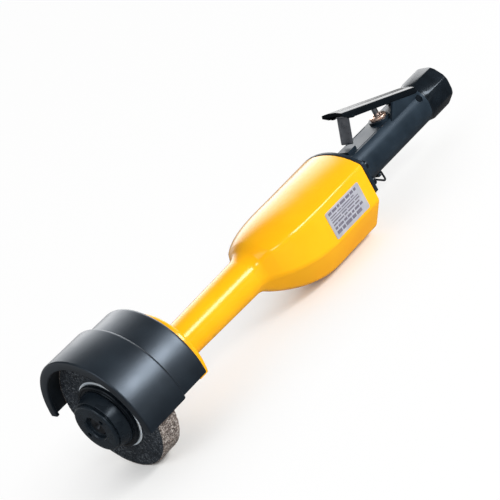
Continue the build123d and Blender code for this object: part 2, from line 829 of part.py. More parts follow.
def rotor():
    start = rear_plate_front + rotor_end_gap
    end = cylinder_front - rotor_end_gap
    shaft_rear = rear_plate_front - rotor_end_gap * 10 - rotor_bearing_width
    body = rod(rotor_radius, start, end)
    body += rod(rotor_shaft_radius, shaft_rear, coupling_start + coupling_length * 0.45)
    for box in vane_boxes(vane_thickness + seat_gap * 2, vane_depth + seat_gap, start, end):
        body -= box
    return body


def rotor_vanes():
    start = rear_plate_front + rotor_end_gap
    end = cylinder_front - rotor_end_gap
    round_off = rod(rotor_radius, start, end)
    return Compound([(box & round_off).solid() for box in vane_boxes(vane_thickness, vane_depth, start, end)])


def shaft_coupling():
    return ring(coupling_radius, rotor_shaft_radius + seat_gap, coupling_start, coupling_end)


def spindle():
    tail_radius = rotor_shaft_radius
    collar_start = cap_front + cap_collar_gap
    tail_end = rear_bearing_start - cap_collar_gap
    tail_start = coupling_start + coupling_length * 0.55
    return turned([(tail_start, 0), (tail_start, tail_radius), (tail_end, tail_radius),
                   (tail_end, spindle_radius), (collar_start, spindle_radius),
                   (collar_start, spindle_collar_radius), (inner_hub_rear, spindle_collar_radius),
                   (inner_hub_rear, spindle_thread_radius), (spindle_end - 1, spindle_thread_radius),
                   (spindle_end, spindle_thread_radius - 1), (spindle_end, spindle_centre_radius),
                   (spindle_end - spindle_centre_depth, 0)])


def front_bearing():
    return ball_bearing(spindle_radius + running_gap, spindle_bearing_radius, front_bearing_start, front_face)


def rear_bearing():
    return ball_bearing(spindle_radius + running_gap, spindle_bearing_radius, rear_bearing_start,
                        rear_pocket_end)


def bearing_cap():
    body = ring(hub_radius, cap_hole_radius, front_face, cap_front)
    for y, z in around(cap_screw_count, cap_screw_circle):
        body -= rod(cap_screw[0] + hole_gap, front_face, cap_front, y, z)
    return body


def cap_screws():
    places = around(cap_screw_count, cap_screw_circle)
    grip = cap_screw_grip + cap_thickness
    return Compound([socket_screw(cap_screw, cap_front, -1, grip, y, z).solid() for y, z in places])


def wheel_guard():
    hole = hub_radius + hole_gap
    inner_collar = guard_collar_radius - guard_wall
    inner_drum = guard_radius - guard_wall
    back = front_face + guard_back_wall
    shoulder = guard_step + guard_wall
    lip = guard_front - guard_wall
    outline = [(front_face, hole), (front_face, guard_collar_radius), (guard_step, guard_collar_radius),
               (guard_step, guard_radius), (guard_front, guard_radius), (guard_front, guard_lip_radius),
               (lip, guard_lip_radius), (lip, inner_drum), (shoulder, inner_drum), (shoulder, inner_collar),
               (back, inner_collar), (back, hole)]
    face = make_face(Polyline(*outline, close=True))
    rounded = {(front_face, guard_collar_radius): guard_collar_edge, (guard_step, guard_radius): guard_edge_radius,
               (guard_step, guard_collar_radius): guard_edge_radius, (guard_front, guard_radius): guard_edge_radius}
    for (x, r), radius in rounded.items():
        corner = face.vertices().sort_by_distance((x, r, 0))[0]
        face = fillet(corner, radius)
    body = Rot(guard_turn, 0, 0) * revolve(face, Axis.X, 180)
    for y, z in guard_screw_places():
        body -= rod(guard_screw[0] + hole_gap, front_face, back, y, z)
    return body


def guard_screws():
    seat = front_face + guard_back_wall
    grip = guard_screw_grip + guard_back_wall
    return Compound([socket_screw(guard_screw, seat, -1, grip, y, z).solid() for y, z in guard_screw_places()])


def housing_screws():
    grip = housing_screw_grip + flange_thickness
    return Compound([socket_screw(housing_screw, handle_front, 1, grip, y, z).solid()
                     for y, z in housing_screw_places()])


def inner_flange():
    plate_rear = inner_flange_front - inner_flange_thickness
    return turned([(inner_hub_rear, spindle_thread_radius + seat_gap), (inner_hub_rear, inner_hub_radius),
                   (plate_rear, inner_hub_radius), (plate_rear, inner_flange_radius),
                   (inner_flange_front, inner_flange_radius),
                   (inner_flange_front, spindle_thread_radius + seat_gap)])


def blotter(start):
    return ring(blotter_radius, wheel_bore_radius + seat_gap, start, start + blotter_thickness)


def grinding_wheel():
    body = ring(wheel_radius, wheel_bore_radius + seat_gap, wheel_rear, wheel_front)
    rims = body.edges().filter_by(GeomType.CIRCLE).filter_by(lambda e: e.radius > blotter_radius)
    return fillet(rims, wheel_edge)


def outer_flange():
    start = wheel_front + blotter_thickness
    body = ring(outer_flange_radius, spindle_thread_radius + seat_gap, start, outer_flange_front)
    rim = body.edges().filter_by(GeomType.CIRCLE).sort_by(Axis.X)
    outer = [edge for edge in rim if edge.radius > blotter_radius / 2]
    return fillet(outer[-1], outer_flange_thickness * 0.25)


def wheel_nut():
    # A round nut: a tapered collar, a groove and a rounded front disc with two holes for a pin spanner
    disc_rear = nut_front - nut_disc_thickness
    collar_front = disc_rear - nut_groove_width
    body = turned([(outer_flange_front, 0), (outer_flange_front, nut_seat_radius - nut_seat_chamfer),
                   (outer_flange_front + nut_seat_chamfer, nut_seat_radius), (collar_front, nut_radius),
                   (collar_front, nut_radius - nut_groove_depth), (disc_rear, nut_radius - nut_groove_depth),
                   (disc_rear, nut_disc_radius), (nut_front, nut_disc_radius), (nut_front, 0)])
    body = fillet(body.edges().group_by(Axis.X)[-1], nut_disc_round)
    body -= rod(nut_recess_radius, nut_front - nut_recess_depth, nut_front)
    for y, z in around([nut_pin_hole_angle, nut_pin_hole_angle + 180], nut_pin_hole_circle):
        body -= rod(nut_pin_hole_radius, nut_front - nut_pin_hole_depth, nut_front, y, z)
    return body - rod(spindle_thread_radius + seat_gap, outer_flange_front, nut_front)


pieces = {
    "inlet_bushing": inlet_bushing,
    "inlet_screen": inlet_screen,
    "throttle_handle": throttle_handle,
    "housing_screws": housing_screws,
    "throttle_lever": throttle_lever,
    "lever_pin": lever_pin,
    "lock_lever": lock_lever,
    "lock_pin": lock_pin,
    "lock_spring": lock_spring,
    "valve_bush": valve_bush,
    "plunger_seal": plunger_seal,
    "valve_plunger": valve_plunger,
    "throttle_valve": throttle_valve,
    "valve_spring": valve_spring,
    "valve_plug": valve_plug,
    "hanging_loop": hanging_loop,
    "rear_gasket": rear_gasket,
    "motor_housing": motor_housing,
    "neck_housing": neck_housing,
    "nameplate": nameplate,
    "exhaust_silencer": exhaust_silencer,
    "motor_cylinder": motor_cylinder,
    "rear_end_plate": rear_end_plate,
    "front_end_plate": front_end_plate,
    "rotor_rear_bearing": rotor_rear_bearing,
    "rotor_front_bearing": rotor_front_bearing,
    "rotor": rotor,
    "rotor_vanes": rotor_vanes,
    "shaft_coupling": shaft_coupling,
    "spindle": spindle,
    "rear_bearing": rear_bearing,
    "front_bearing": front_bearing,
    "bearing_cap": bearing_cap,
    "cap_screws": cap_screws,
    "wheel_guard": wheel_guard,
    "guard_screws": guard_screws,
    "inner_flange": inner_flange,
    "grinding_wheel": grinding_wheel,
    "outer_flange": outer_flange,
    "wheel_nut": wheel_nut,
}

os.makedirs("parts", exist_ok=True)
for name, make in pieces.items():
    export_step(make(), f"parts/{name}.step")
export_step(blotter(wheel_rear - blotter_thickness), "parts/rear_blotter.step")
export_step(blotter(wheel_front), "parts/front_blotter.step")
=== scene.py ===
import json
import math
import bmesh
import bpy
from mathutils import Matrix, Vector, noise


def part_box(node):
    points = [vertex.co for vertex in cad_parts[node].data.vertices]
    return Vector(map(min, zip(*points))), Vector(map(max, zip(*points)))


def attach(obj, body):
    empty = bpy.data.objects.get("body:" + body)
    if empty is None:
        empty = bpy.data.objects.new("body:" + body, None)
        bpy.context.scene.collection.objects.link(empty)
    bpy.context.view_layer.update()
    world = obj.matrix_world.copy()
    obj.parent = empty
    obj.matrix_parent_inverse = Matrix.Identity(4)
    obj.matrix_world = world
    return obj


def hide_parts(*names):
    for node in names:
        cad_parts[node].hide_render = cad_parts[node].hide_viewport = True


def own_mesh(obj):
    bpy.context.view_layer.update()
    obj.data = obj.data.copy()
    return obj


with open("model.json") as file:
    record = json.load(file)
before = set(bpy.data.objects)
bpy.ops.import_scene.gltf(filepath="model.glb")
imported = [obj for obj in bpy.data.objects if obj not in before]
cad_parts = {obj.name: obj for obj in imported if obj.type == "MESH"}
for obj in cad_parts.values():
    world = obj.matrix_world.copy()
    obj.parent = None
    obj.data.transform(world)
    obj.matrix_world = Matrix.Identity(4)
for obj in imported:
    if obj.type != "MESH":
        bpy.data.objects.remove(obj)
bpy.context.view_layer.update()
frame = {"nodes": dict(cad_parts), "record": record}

scene = bpy.context.scene
mm = 0.001          # shapes are drawn in millimetres and scaled once, in makePiece
roundSteps = 6      # segments in a rounded corner
turnSteps = 128     # segments round a turned piece
print("frame loaded:", len(frame["nodes"]), "nodes")


# sRGB hex to the linear colour that the shader takes
def paint(code):
    parts = [int(code[i:i + 2], 16) / 255 for i in (1, 3, 5)]
    return [c / 12.92 if c <= 0.04045 else ((c + 0.055) / 1.055) ** 2.4 for c in parts] + [1.0]


# one node with its settings; an input given as another node's socket is linked
def addNode(tree, kind, inputs=None, **settings):
    node = tree.nodes.new(kind)
    for name, value in settings.items():
        setattr(node, name, value)
    for name, value in (inputs or {}).items():
        if isinstance(value, bpy.types.NodeSocket):
            tree.links.new(value, node.inputs[name])
        else:
            node.inputs[name].default_value = value
    return node


# a ramp's stops, as (place, hex colour)
def setStops(ramp, stops):
    while len(ramp.elements) < len(stops):
        ramp.elements.new(0.5)
    for element, (place, code) in zip(ramp.elements, stops):
        element.position = place
        element.color = paint(code)


# a finish: two tones in soft patches, roughness that varies with them, and a fine grain in relief;
# patch and grain are sizes in millimetres
def newFinish(name, tones, patch, grain, relief, roughness, **shader):
    material = bpy.data.materials.new(name)
    material.use_nodes = True
    tree = material.node_tree
    surface = tree.nodes["Principled BSDF"]
    place = addNode(tree, "ShaderNodeTexCoord").outputs["Object"]
    patches = addNode(tree, "ShaderNodeTexNoise", {"Vector": place, "Scale": 1000 / patch, "Detail": 3.0})
    # the noise keeps mostly between 0.3 and 0.7
    colour = addNode(tree, "ShaderNodeValToRGB", {"Fac": patches.outputs["Fac"]})
    setStops(colour.color_ramp, [(0.32, tones[0]), (0.68, tones[1])])
    rough = addNode(tree, "ShaderNodeMapRange", {
        "Value": patches.outputs["Fac"], "From Min": 0.3, "From Max": 0.7,
        "To Min": roughness[0], "To Max": roughness[1]})
    grit = addNode(tree, "ShaderNodeTexNoise", {"Vector": place, "Scale": 1000 / grain, "Detail": 2.0})
    bump = addNode(tree, "ShaderNodeBump", {
        "Height": grit.outputs["Fac"], "Strength": relief, "Distance": grain * mm * 0.5})
    tree.links.new(colour.outputs["Color"], surface.inputs["Base Color"])
    tree.links.new(rough.outputs["Result"], surface.inputs["Roughness"])
    tree.links.new(bump.outputs["Normal"], surface.inputs["Normal"])
    for socket, value in shader.items():
        surface.inputs[socket].default_value = value
    return material


# sprayed enamel over an aluminium casting: deep yellow, wet gloss, a trace of orange peel
yellowEnamel = newFinish("yellowEnamel", ("#FBB10A", "#FDB90D"), 40, 2.6, 0.02, (0.17, 0.23),
                         **{"Specular IOR Level": 0.45, "Specular Tint": paint("#FFF6E4")})
# powder coat on pressed steel: blue-black satin that spreads a light into a broad band, with a fine pebble
blackPowder = newFinish("blackPowderCoat", ("#0E151C", "#131C24"), 22, 0.9, 0.05, (0.33, 0.40),
                        **{"Specular IOR Level": 0.84, "Specular Tint": paint("#D2E2F4")})
# painted casting: blue-black, duller than the guard, slightly uneven
blackCasting = newFinish("blackPaintedCasting", ("#18222B", "#222D37"), 16, 1.3, 0.06, (0.34, 0.42),
                         **{"Specular IOR Level": 0.3, "Specular Tint": paint("#C8DEF4")})
# black oxide on machined steel: dark, oily sheen
blackOxide = newFinish("blackOxideSteel", ("#0A1015", "#10171E"), 12, 0.6, 0.05, (0.20, 0.28),
                       **{"Specular IOR Level": 0.32, "Specular Tint": paint("#D6E4F2")})
# phosphated steel of the wheel nut: a blue-black with a soft shine
phosphate = newFinish("phosphatedSteel", ("#161E26", "#202931"), 9, 0.7, 0.06, (0.24, 0.32),
                      **{"Specular IOR Level": 0.45, "Specular Tint": paint("#D6E4F2")})
# black oxide rubbed thin by the thumb: steel grey that takes the light on its edges
wornOxide = newFinish("wornBlackOxide", ("#7E828A", "#9A9EA6"), 6, 0.5, 0.06, (0.26, 0.36),
                      **{"Metallic": 1.0})
# gloss stoving black of the throttle lever: mirrors the wall behind at a low angle
glossBlack = newFinish("stovedGlossBlack", ("#070B0F", "#0C1116"), 18, 1.1, 0.03, (0.16, 0.22),
                       **{"Specular IOR Level": 0.14, "Specular Tint": paint("#D6E4F2")})
# turned brass that has gone pinkish brown
agedBrass = newFinish("agedBrass", ("#F2C6AE", "#FADBCA"), 5, 0.7, 0.10, (0.28, 0.42),
                      **{"Metallic": 0.85})
# zinc plate: pale, faintly blue, soft shine
zincPlate = newFinish("zincPlate", ("#A2A6AC", "#BFC3C8"), 4, 0.5, 0.05, (0.30, 0.40),
                      **{"Metallic": 1.0})
# ground steel: grey with a fine scratch of the stone
groundSteel = newFinish("groundSteel", ("#8E9094", "#A6A8AC"), 8, 0.4, 0.08, (0.28, 0.38),
                        **{"Metallic": 1.0})
# dark oiled steel of the springs and the spindle
oiledSteel = newFinish("oiledSteel", ("#3A3D42", "#52565C"), 5, 0.4, 0.06, (0.30, 0.40),
                       **{"Metallic": 1.0})
# machined cast iron: mid grey, open grain
machinedIron = newFinish("machinedIron", ("#55565A", "#6C6D70"), 6, 0.6, 0.18, (0.42, 0.55),
                         **{"Metallic": 1.0})
# moulded rubber: dull black
mouldedRubber = newFinish("mouldedRubber", ("#17181A", "#1E1F21"), 9, 0.5, 0.10, (0.62, 0.75),
                          **{"Specular IOR Level": 0.3})
# phenolic laminate of the vanes: brown with a cloth grain
phenolic = newFinish("phenolicLaminate", ("#5E4126", "#775534"), 3, 0.5, 0.10, (0.45, 0.58))
# pressed felt: grey-fawn, no shine
pressedFelt = newFinish("pressedFelt", ("#7C776C", "#968F82"), 4, 0.7, 0.40, (0.85, 0.95),
                        **{"Specular IOR Level": 0.1})
# card of the blotters: pale blue-white, matt
blotterCard = newFinish("blotterCard", ("#D6E2EE", "#E8EFF5"), 10, 0.8, 0.12, (0.70, 0.82),
                        **{"Specular IOR Level": 0.25})
# satin plate of the nameplate: pale grey with a cool cast
plateMetal = newFinish("satinPlateAluminium", ("#BCBECA", "#CCCED8"), 6, 0.5, 0.06, (0.34, 0.44),
                       **{"Metallic": 0.4})
# etched and filled bars on the plate: a dull grey-violet
etchedInk = newFinish("etchedInk", ("#625F70", "#797684"), 2, 0.4, 0.05, (0.5, 0.6),
                      **{"Specular IOR Level": 0.3})

# 24 grit is 0.75 mm, drawn at 1 mm so that it shows; the side faces are painted dark as shade, and the grit's
# own colour takes over within the last millimetre or so of the radius
abrasive = {"grain": 1.0, "rim": 50, "shadeFadeFrom": 1.2, "shadeFadeTo": 0.5,
            "face": [(0.0, "#191E24"), (0.5, "#262D35"), (0.8, "#394048"), (0.95, "#62686F")],
            "ground": [(0.0, "#49413E"), (0.4, "#6A605B"), (0.7, "#8B817B"), (0.95, "#BDB6B0")]}


# resin-bonded grit of brown and pale grains; the side faces are painted dark and bluish as shade, the rim
# shows the grit's own colour
def makeAbrasive():
    material = bpy.data.materials.new("resinBondedGrit")
    material.use_nodes = True
    tree = material.node_tree
    surface = tree.nodes["Principled BSDF"]
    place = addNode(tree, "ShaderNodeTexCoord").outputs["Object"]
    grains = addNode(tree, "ShaderNodeTexVoronoi", {
        "Vector": place, "Scale": 1000 / abrasive["grain"], "Randomness": 1.0})
    shade = addNode(tree, "ShaderNodeSeparateColor", {"Color": grains.outputs["Color"]})
    # painted shade: the dark, bluish ramp of the side faces; the next ramp is the grit's own colour on the
    # rim
    face = addNode(tree, "ShaderNodeValToRGB", {"Fac": shade.outputs["Red"]})
    setStops(face.color_ramp, abrasive["face"])
    ground = addNode(tree, "ShaderNodeValToRGB", {"Fac": shade.outputs["Red"]})
    setStops(ground.color_ramp, abrasive["ground"])
    parts = addNode(tree, "ShaderNodeSeparateXYZ", {"Vector": place})
    flat = addNode(tree, "ShaderNodeCombineXYZ", {"Y": parts.outputs["Y"], "Z": parts.outputs["Z"]})
    out = addNode(tree, "ShaderNodeVectorMath", {0: flat.outputs[0]}, operation="LENGTH")
    edge = addNode(tree, "ShaderNodeMapRange", {
        "Value": out.outputs["Value"],
        "From Min": (abrasive["rim"] - abrasive["shadeFadeFrom"]) * mm,
        "From Max": (abrasive["rim"] - abrasive["shadeFadeTo"]) * mm})
    colour = addNode(tree, "ShaderNodeMix", {
        0: edge.outputs["Result"], 6: face.outputs["Color"], 7: ground.outputs["Color"]}, data_type="RGBA")
    rough = addNode(tree, "ShaderNodeMapRange", {
        "Value": shade.outputs["Green"], "To Min": 0.45, "To Max": 0.95})
    bump = addNode(tree, "ShaderNodeBump", {
        "Height": grains.outputs["Distance"], "Strength": 0.5,
        "Distance": abrasive["grain"] * mm * 0.4}, invert=True)
    tree.links.new(colour.outputs[2], surface.inputs["Base Color"])
    tree.links.new(rough.outputs["Result"], surface.inputs["Roughness"])
    tree.links.new(bump.outputs["Normal"], surface.inputs["Normal"])
    surface.inputs["Specular IOR Level"].default_value = 0.3
    return material


gritWheel = makeAbrasive()
print("finishes made:", len(bpy.data.materials))


# the vertices or edges in what an operator gives back
def onlyVerts(items):
    return [item for item in items if isinstance(item, bmesh.types.BMVert)]


def onlyEdges(items):
    return [item for item in items if isinstance(item, bmesh.types.BMEdge)]


def everything(bm):
    return bm.verts[:] + bm.edges[:] + bm.faces[:]


# how far along its edges a corner is cut to be rounded to a radius
def cornerCut(before, point, after, radius):
    return radius * math.tan((point - before).angle(after - point) / 2)


# a closed outline from (point, radius) pairs; every corner with a radius is rounded
def addOutline(bm, corners):
    known = set(bm.edges)
    points = [Vector(point) for point, radius in corners]
    verts = [bm.verts.new(point) for point in points]
    for i, vert in enumerate(verts):
        bm.edges.new((verts[i - 1], vert))
    for i, vert in enumerate(verts):
        if corners[i][1]:
            cut = cornerCut(points[i - 1], points[i], points[(i + 1) % len(points)], corners[i][1])
            bmesh.ops.bevel(bm, geom=[vert], offset=cut, offset_type="OFFSET", segments=roundSteps,
                            profile=0.5, affect="VERTICES", material=-1)
    return [edge for edge in bm.edges if edge not in known]


# a turned shape about the tool's axis, from (station, radius, corner radius) points
def turned(points, angle=2 * math.pi, steps=turnSteps):
    bm = bmesh.new()
    edges = addOutline(bm, [((x, r, 0), corner) for x, r, corner in points])
    verts = list(dict.fromkeys(vert for edge in edges for vert in edge.verts))
    whole = angle >= 2 * math.pi
    swept = bmesh.ops.spin(bm, geom=verts + edges, cent=(0, 0, 0), axis=(1, 0, 0), angle=angle, steps=steps,
                           use_merge=whole)
    if not whole:
        bmesh.ops.edgeloop_fill(bm, edges=edges)
        bmesh.ops.edgeloop_fill(bm, edges=onlyEdges(swept["geom_last"]))
    bmesh.ops.recalc_face_normals(bm, faces=bm.faces)
    return bm


# a face drawn out along a direction into a closed solid
def drawOut(bm, faces, along):
    grown = bmesh.ops.extrude_face_region(bm, geom=faces)["geom"]
    bmesh.ops.translate(bm, verts=onlyVerts(grown), vec=along)
    bmesh.ops.recalc_face_normals(bm, faces=bm.faces)


# a prism: an outline in one plane pushed along a direction
def pushed(corners, along):
    bm = bmesh.new()
    edges = addOutline(bm, corners)
    drawOut(bm, bmesh.ops.edgeloop_fill(bm, edges=edges)["faces"], along)
    return bm


# a rod of any direction between two ends
def rod(start, end, radius, steps=48):
    bm = bmesh.new()
    start, end = Vector(start), Vector(end)
    bmesh.ops.create_cone(bm, cap_ends=True, segments=steps, radius1=radius, radius2=radius,
                          depth=(end - start).length)
    turn = Vector((0, 0, 1)).rotation_difference(end - start).to_matrix().to_4x4()
    bmesh.ops.transform(bm, matrix=Matrix.Translation((start + end) / 2) @ turn, verts=bm.verts)
    return bm


def addBox(bm, low, high):
    low, high = Vector(low), Vector(high)
    bmesh.ops.create_cube(bm, size=1, matrix=Matrix.LocRotScale((low + high) / 2, None, high - low))


def box(low, high):
    bm = bmesh.new()
    addBox(bm, low, high)
    return bm


# a shape as a plain object in millimetres, for joining and cutting
def asObject(bm):
    mesh = bpy.data.meshes.new("shape")
    bm.to_mesh(mesh)
    bm.free()
    item = bpy.data.objects.new("shape", mesh)
    scene.collection.objects.link(item)
    return item


# joins or cuts shapes one after the other and gives back the result as a bmesh
def combined(first, steps):
    base = asObject(first)
    tools = []
    for operation, shape in steps:
        tool = asObject(shape)
        change = base.modifiers.new(operation, "BOOLEAN")
        change.operation = operation
        change.solver = "EXACT"
        change.object = tool
        tools.append(tool)
    result = base.evaluated_get(bpy.context.evaluated_depsgraph_get())
    bm = bmesh.new()
    bm.from_mesh(result.to_mesh())
    for item in tools + [base]:
        bpy.data.objects.remove(item)
    return bm


# the finished piece, in metres; edge is the width of its softened edges in millimetres, and the two angles
# say which edges are shaded sharp and which are softened
def makePiece(name, bm, material, body, nodes, edge=0, sharp=32, edgeAngle=30):
    bmesh.ops.remove_doubles(bm, verts=bm.verts, dist=0.0005)
    bmesh.ops.scale(bm, vec=(mm, mm, mm), verts=bm.verts)
    mesh = bpy.data.meshes.new(name)
    bm.to_mesh(mesh)
    bm.free()
    piece = bpy.data.objects.new(name, mesh)
    scene.collection.objects.link(piece)
    mesh.materials.append(material)
    for polygon in mesh.polygons:
        polygon.use_smooth = True
    mesh.set_sharp_from_angle(angle=math.radians(sharp))
    if edge:
        bevel = piece.modifiers.new("softEdges", "BEVEL")
        bevel.width = edge * mm
        bevel.segments = 3
        bevel.limit_method = "ANGLE"
        bevel.angle_limit = math.radians(edgeAngle)
        bevel.harden_normals = True
    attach(piece, body)
    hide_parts(*nodes)
    print("piece:", name, len(mesh.polygons), "faces")
    return piece


casing = {"rear": 156.05, "straight": 54.15, "root": 282.2, "end": 288.2, "halfWidth": 38, "rearTop": 29,
          "frontTop": 27.8, "bottom": 48.5, "ridgeShare": 0.545, "lowShare": 0.39, "keelWidth": 0.53,
          "keelHeight": 0.9, "corners": (3.5, 6, 10), "rootCorner": 8, "rootRadius": 17, "endRadius": 16.686,
          "sidePower": 3.2, "topPower": 0.7, "keelPower": 0.9, "rootFillet": 7, "rearEdge": 1.3,
          "topSteps": 22, "keelSteps": 12, "cornerSteps": 8, "bulbSteps": 26, "bulbReach": 0.86}


# an arc of edges from a point about a centre, made by spinning one vertex
def addArc(bm, start, centreHeight, angle, steps):
    vert = bm.verts.new(start)
    swept = bmesh.ops.spin(bm, geom=[vert], cent=(start[0], 0, centreHeight), axis=(1, 0, 0), angle=angle,
                           steps=steps)
    return vert, onlyVerts(swept["geom_last"])[0]


# one cross-section of the casing: crowned top, upright sides, sloping lower sides, rounded keel
def addCasingRing(bm, x, halfWidth, top, bottom, corners):
    known = set(bm.edges)
    ridge = Vector((x, halfWidth, top * casing["ridgeShare"]))
    low = Vector((x, halfWidth, -bottom * casing["lowShare"]))
    keel = Vector((x, halfWidth * casing["keelWidth"], -bottom * casing["keelHeight"]))
    ends = []
    for corner, peak, steps in ((ridge, top, casing["topSteps"]), (keel, -bottom, casing["keelSteps"])):
        rise = abs(peak) - abs(corner.z)
        radius = (corner.y ** 2 + rise ** 2) / (2 * rise)
        centre = peak - math.copysign(radius, peak)
        half = math.asin(corner.y / radius)
        ends.append(addArc(bm, corner, centre, math.copysign(2 * half, peak), steps))
    (ridgeRight, ridgeLeft), (keelRight, keelLeft) = ends
    lowRight = bm.verts.new(low)
    lowLeft = bm.verts.new((x, -low.y, low.z))
    for pair in ((ridgeRight, lowRight), (lowRight, keelRight), (keelLeft, lowLeft), (lowLeft, ridgeLeft)):
        bm.edges.new(pair)
    sides = ((ridgeRight, ridgeLeft), (lowRight, lowLeft), (keelRight, keelLeft))
    for pair, radius in zip(sides, corners):
        for vert in pair:
            before, after = [edge.other_vert(vert).co for edge in vert.link_edges]
            cut = cornerCut(before, vert.co, after, radius)
            bmesh.ops.bevel(bm, geom=[vert], offset=cut, offset_type="OFFSET", segments=casing["cornerSteps"],
                            profile=0.5, affect="VERTICES", material=-1)
    return [edge for edge in bm.edges if edge not in known]


# a size of the bulb that grows from the neck's root to its end
def swell(end, growth):
    return casing["rootRadius"] + (end - casing["rootRadius"]) * growth


# the casing between the neck's root at 0 and its straight length at 1
def addBulbRing(bm, share):
    bulbRear = casing["rear"] + casing["straight"]
    x = casing["root"] - share * (casing["root"] - bulbRear)
    side = 1 - (1 - share) ** casing["sidePower"]
    keel = math.sin(math.pi / 2 * share) ** casing["keelPower"]
    start = casing["rootCorner"]
    corners = [start + (radius - start) * share for radius in casing["corners"]]
    return addCasingRing(bm, x, swell(casing["halfWidth"], side),
                         swell(casing["frontTop"], side ** casing["topPower"]),
                         swell(casing["bottom"], keel), corners)


# makes a ring of edges round, at a station and a radius
def roundOff(edges, x, radius):
    for vert in {vert for edge in edges for vert in edge.verts}:
        flat = Vector((vert.co.y, vert.co.z)).normalized() * radius
        vert.co = (x, flat.x, flat.y)


def makeCasing():
    bm = bmesh.new()
    rings = [addCasingRing(bm, casing["rear"], casing["halfWidth"], casing["rearTop"], casing["bottom"],
                           casing["corners"])]
    for i in range(casing["bulbSteps"] + 1):
        rings.append(addBulbRing(bm, 1 - casing["bulbReach"] * i / casing["bulbSteps"]))
    root = addBulbRing(bm, 0)
    end = addBulbRing(bm, 0)
    roundOff(end, casing["end"], casing["endRadius"])
    roundOff(root, casing["root"], casing["rootRadius"])
    rings += [root, end]
    bmesh.ops.edgeloop_fill(bm, edges=rings[0])
    for one, other in zip(rings, rings[1:]):
        bmesh.ops.bridge_loops(bm, edges=one + other)
    bmesh.ops.edgeloop_fill(bm, edges=end)
    bmesh.ops.recalc_face_normals(bm, faces=bm.faces)
    bmesh.ops.bevel(bm, geom=root, offset=casing["rootFillet"], offset_type="OFFSET", segments=8,
                    profile=0.5, affect="EDGES", material=-1, clamp_overlap=True)
    rear = [edge for edge in bm.edges
            if edge.is_valid and all(abs(vert.co.x - casing["rear"]) < 0.001 for vert in edge.verts)]
    bmesh.ops.bevel(bm, geom=rear, offset=casing["rearEdge"], offset_type="OFFSET", segments=4,
                    profile=0.5, affect="EDGES", material=-1, clamp_overlap=True)
    return bm


exhaust = {"count": 5, "pitch": 6, "width": 3, "low": -40, "high": -29, "depth": 7, "corner": 1.4,
           "overrun": 2}


def exhaustCutters():
    cutters = []
    x = casing["rear"] - exhaust["overrun"]
    low, high, half = exhaust["low"], exhaust["high"], exhaust["width"] / 2
    for i in range(exhaust["count"]):
        middle = (i - (exhaust["count"] - 1) / 2) * exhaust["pitch"]
        outline = ((middle - half, low), (middle + half, low), (middle + half, high), (middle - half, high))
        slot = pushed([((x, y, z), exhaust["corner"]) for y, z in outline],
                      (exhaust["depth"] + exhaust["overrun"], 0, 0))
        cutters.append(("DIFFERENCE", slot))
    return cutters


makePiece("casing", combined(makeCasing(), exhaustCutters()), yellowEnamel, "tool",
          ["motor_housing"])

neck = {"rear": 288.2, "rearRadius": 16.686, "frontRadius": 14.85, "fillet": 8, "flangeRear": 385.2,
        "flangeFront": 395.5, "flangeRadius": 42, "flangeEdge": 3, "flangeLow": -13, "flangeBore": 14,
        "hubRadius": 24, "hubInset": 0.2, "easing": 0.4, "bore": 12}


def makeNeck(size):
    hubRear = size["flangeRear"] + size["hubInset"]
    hubFront = size["flangeFront"] - size["hubInset"]
    tube = turned([(size["rear"], size["bore"], 0),
                   (size["rear"], size["rearRadius"], 0),
                   (size["flangeRear"], size["frontRadius"], size["fillet"]),
                   (hubRear, size["hubRadius"], size["easing"]),
                   (hubFront, size["hubRadius"], size["easing"]),
                   (hubFront, size["bore"], 0)])
    flange = turned([(size["flangeRear"], size["flangeBore"], 0),
                     (size["flangeRear"], size["flangeRadius"], size["flangeEdge"]),
                     (size["flangeFront"], size["flangeRadius"], size["easing"]),
                     (size["flangeFront"], size["flangeBore"], 0)])
    cut = bmesh.ops.bisect_plane(flange, geom=everything(flange), plane_co=(0, 0, size["flangeLow"]),
                                 plane_no=(0, 0, -1), clear_outer=True)
    bmesh.ops.holes_fill(flange, edges=onlyEdges(cut["geom_cut"]))
    return combined(tube, [("UNION", flange)])


makePiece("neck", makeNeck(neck), yellowEnamel, "tool", ["neck_housing"])

guard = {"rear": 395.5, "step": 424.5, "front": 465.0, "hole": 24.25, "collar": 54.2, "drum": 58.2, "wall": 3,
         "backWall": 4, "lip": 50.5, "rearEdge": 3.2, "shoulder": 3.2, "foot": 0.7, "frontEdge": 1.4,
         "lipEdge": 0.8, "holeEdge": 0.3, "insideCorners": (1.2, 1, 1, 2), "turn": -5, "steps": 120}


# half a turn of the guard's wall, from the hole round the outside and back inside
def makeGuard(size):
    back = size["rear"] + size["backWall"]
    lipRear = size["front"] - size["wall"]
    drumInside = size["drum"] - size["wall"]
    collarInside = size["collar"] - size["wall"]
    stepInside = size["step"] + size["wall"]
    drumFront, drumRear, collarFront, collarRear = size["insideCorners"]
    bm = turned([(size["rear"], size["hole"], size["holeEdge"]),
                 (size["rear"], size["collar"], size["rearEdge"]),
                 (size["step"], size["collar"], size["foot"]),
                 (size["step"], size["drum"], size["shoulder"]),
                 (size["front"], size["drum"], size["frontEdge"]),
                 (size["front"], size["lip"], size["lipEdge"]),
                 (lipRear, size["lip"], size["lipEdge"]),
                 (lipRear, drumInside, drumFront),
                 (stepInside, drumInside, drumRear),
                 (stepInside, collarInside, collarFront),
                 (back, collarInside, collarRear),
                 (back, size["hole"], size["holeEdge"])], angle=math.pi, steps=size["steps"])
    turn = Matrix.Rotation(math.radians(size["turn"]), 3, "X")
    bmesh.ops.rotate(bm, cent=(0, 0, 0), matrix=turn, verts=bm.verts)
    return bm


makePiece("wheelGuard", makeGuard(guard), blackPowder, "tool", ["wheel_guard"], edge=0.5,
          edgeAngle=50)

wheel = {"rear": 433.7, "front": 452.7, "radius": 50, "bore": 8, "edge": 0.8, "steps": 300, "faceRows": 26,
         "rimRows": 14, "grain": 0.22, "cell": 1.5, "pits": 3.1, "clampRadius": 29}


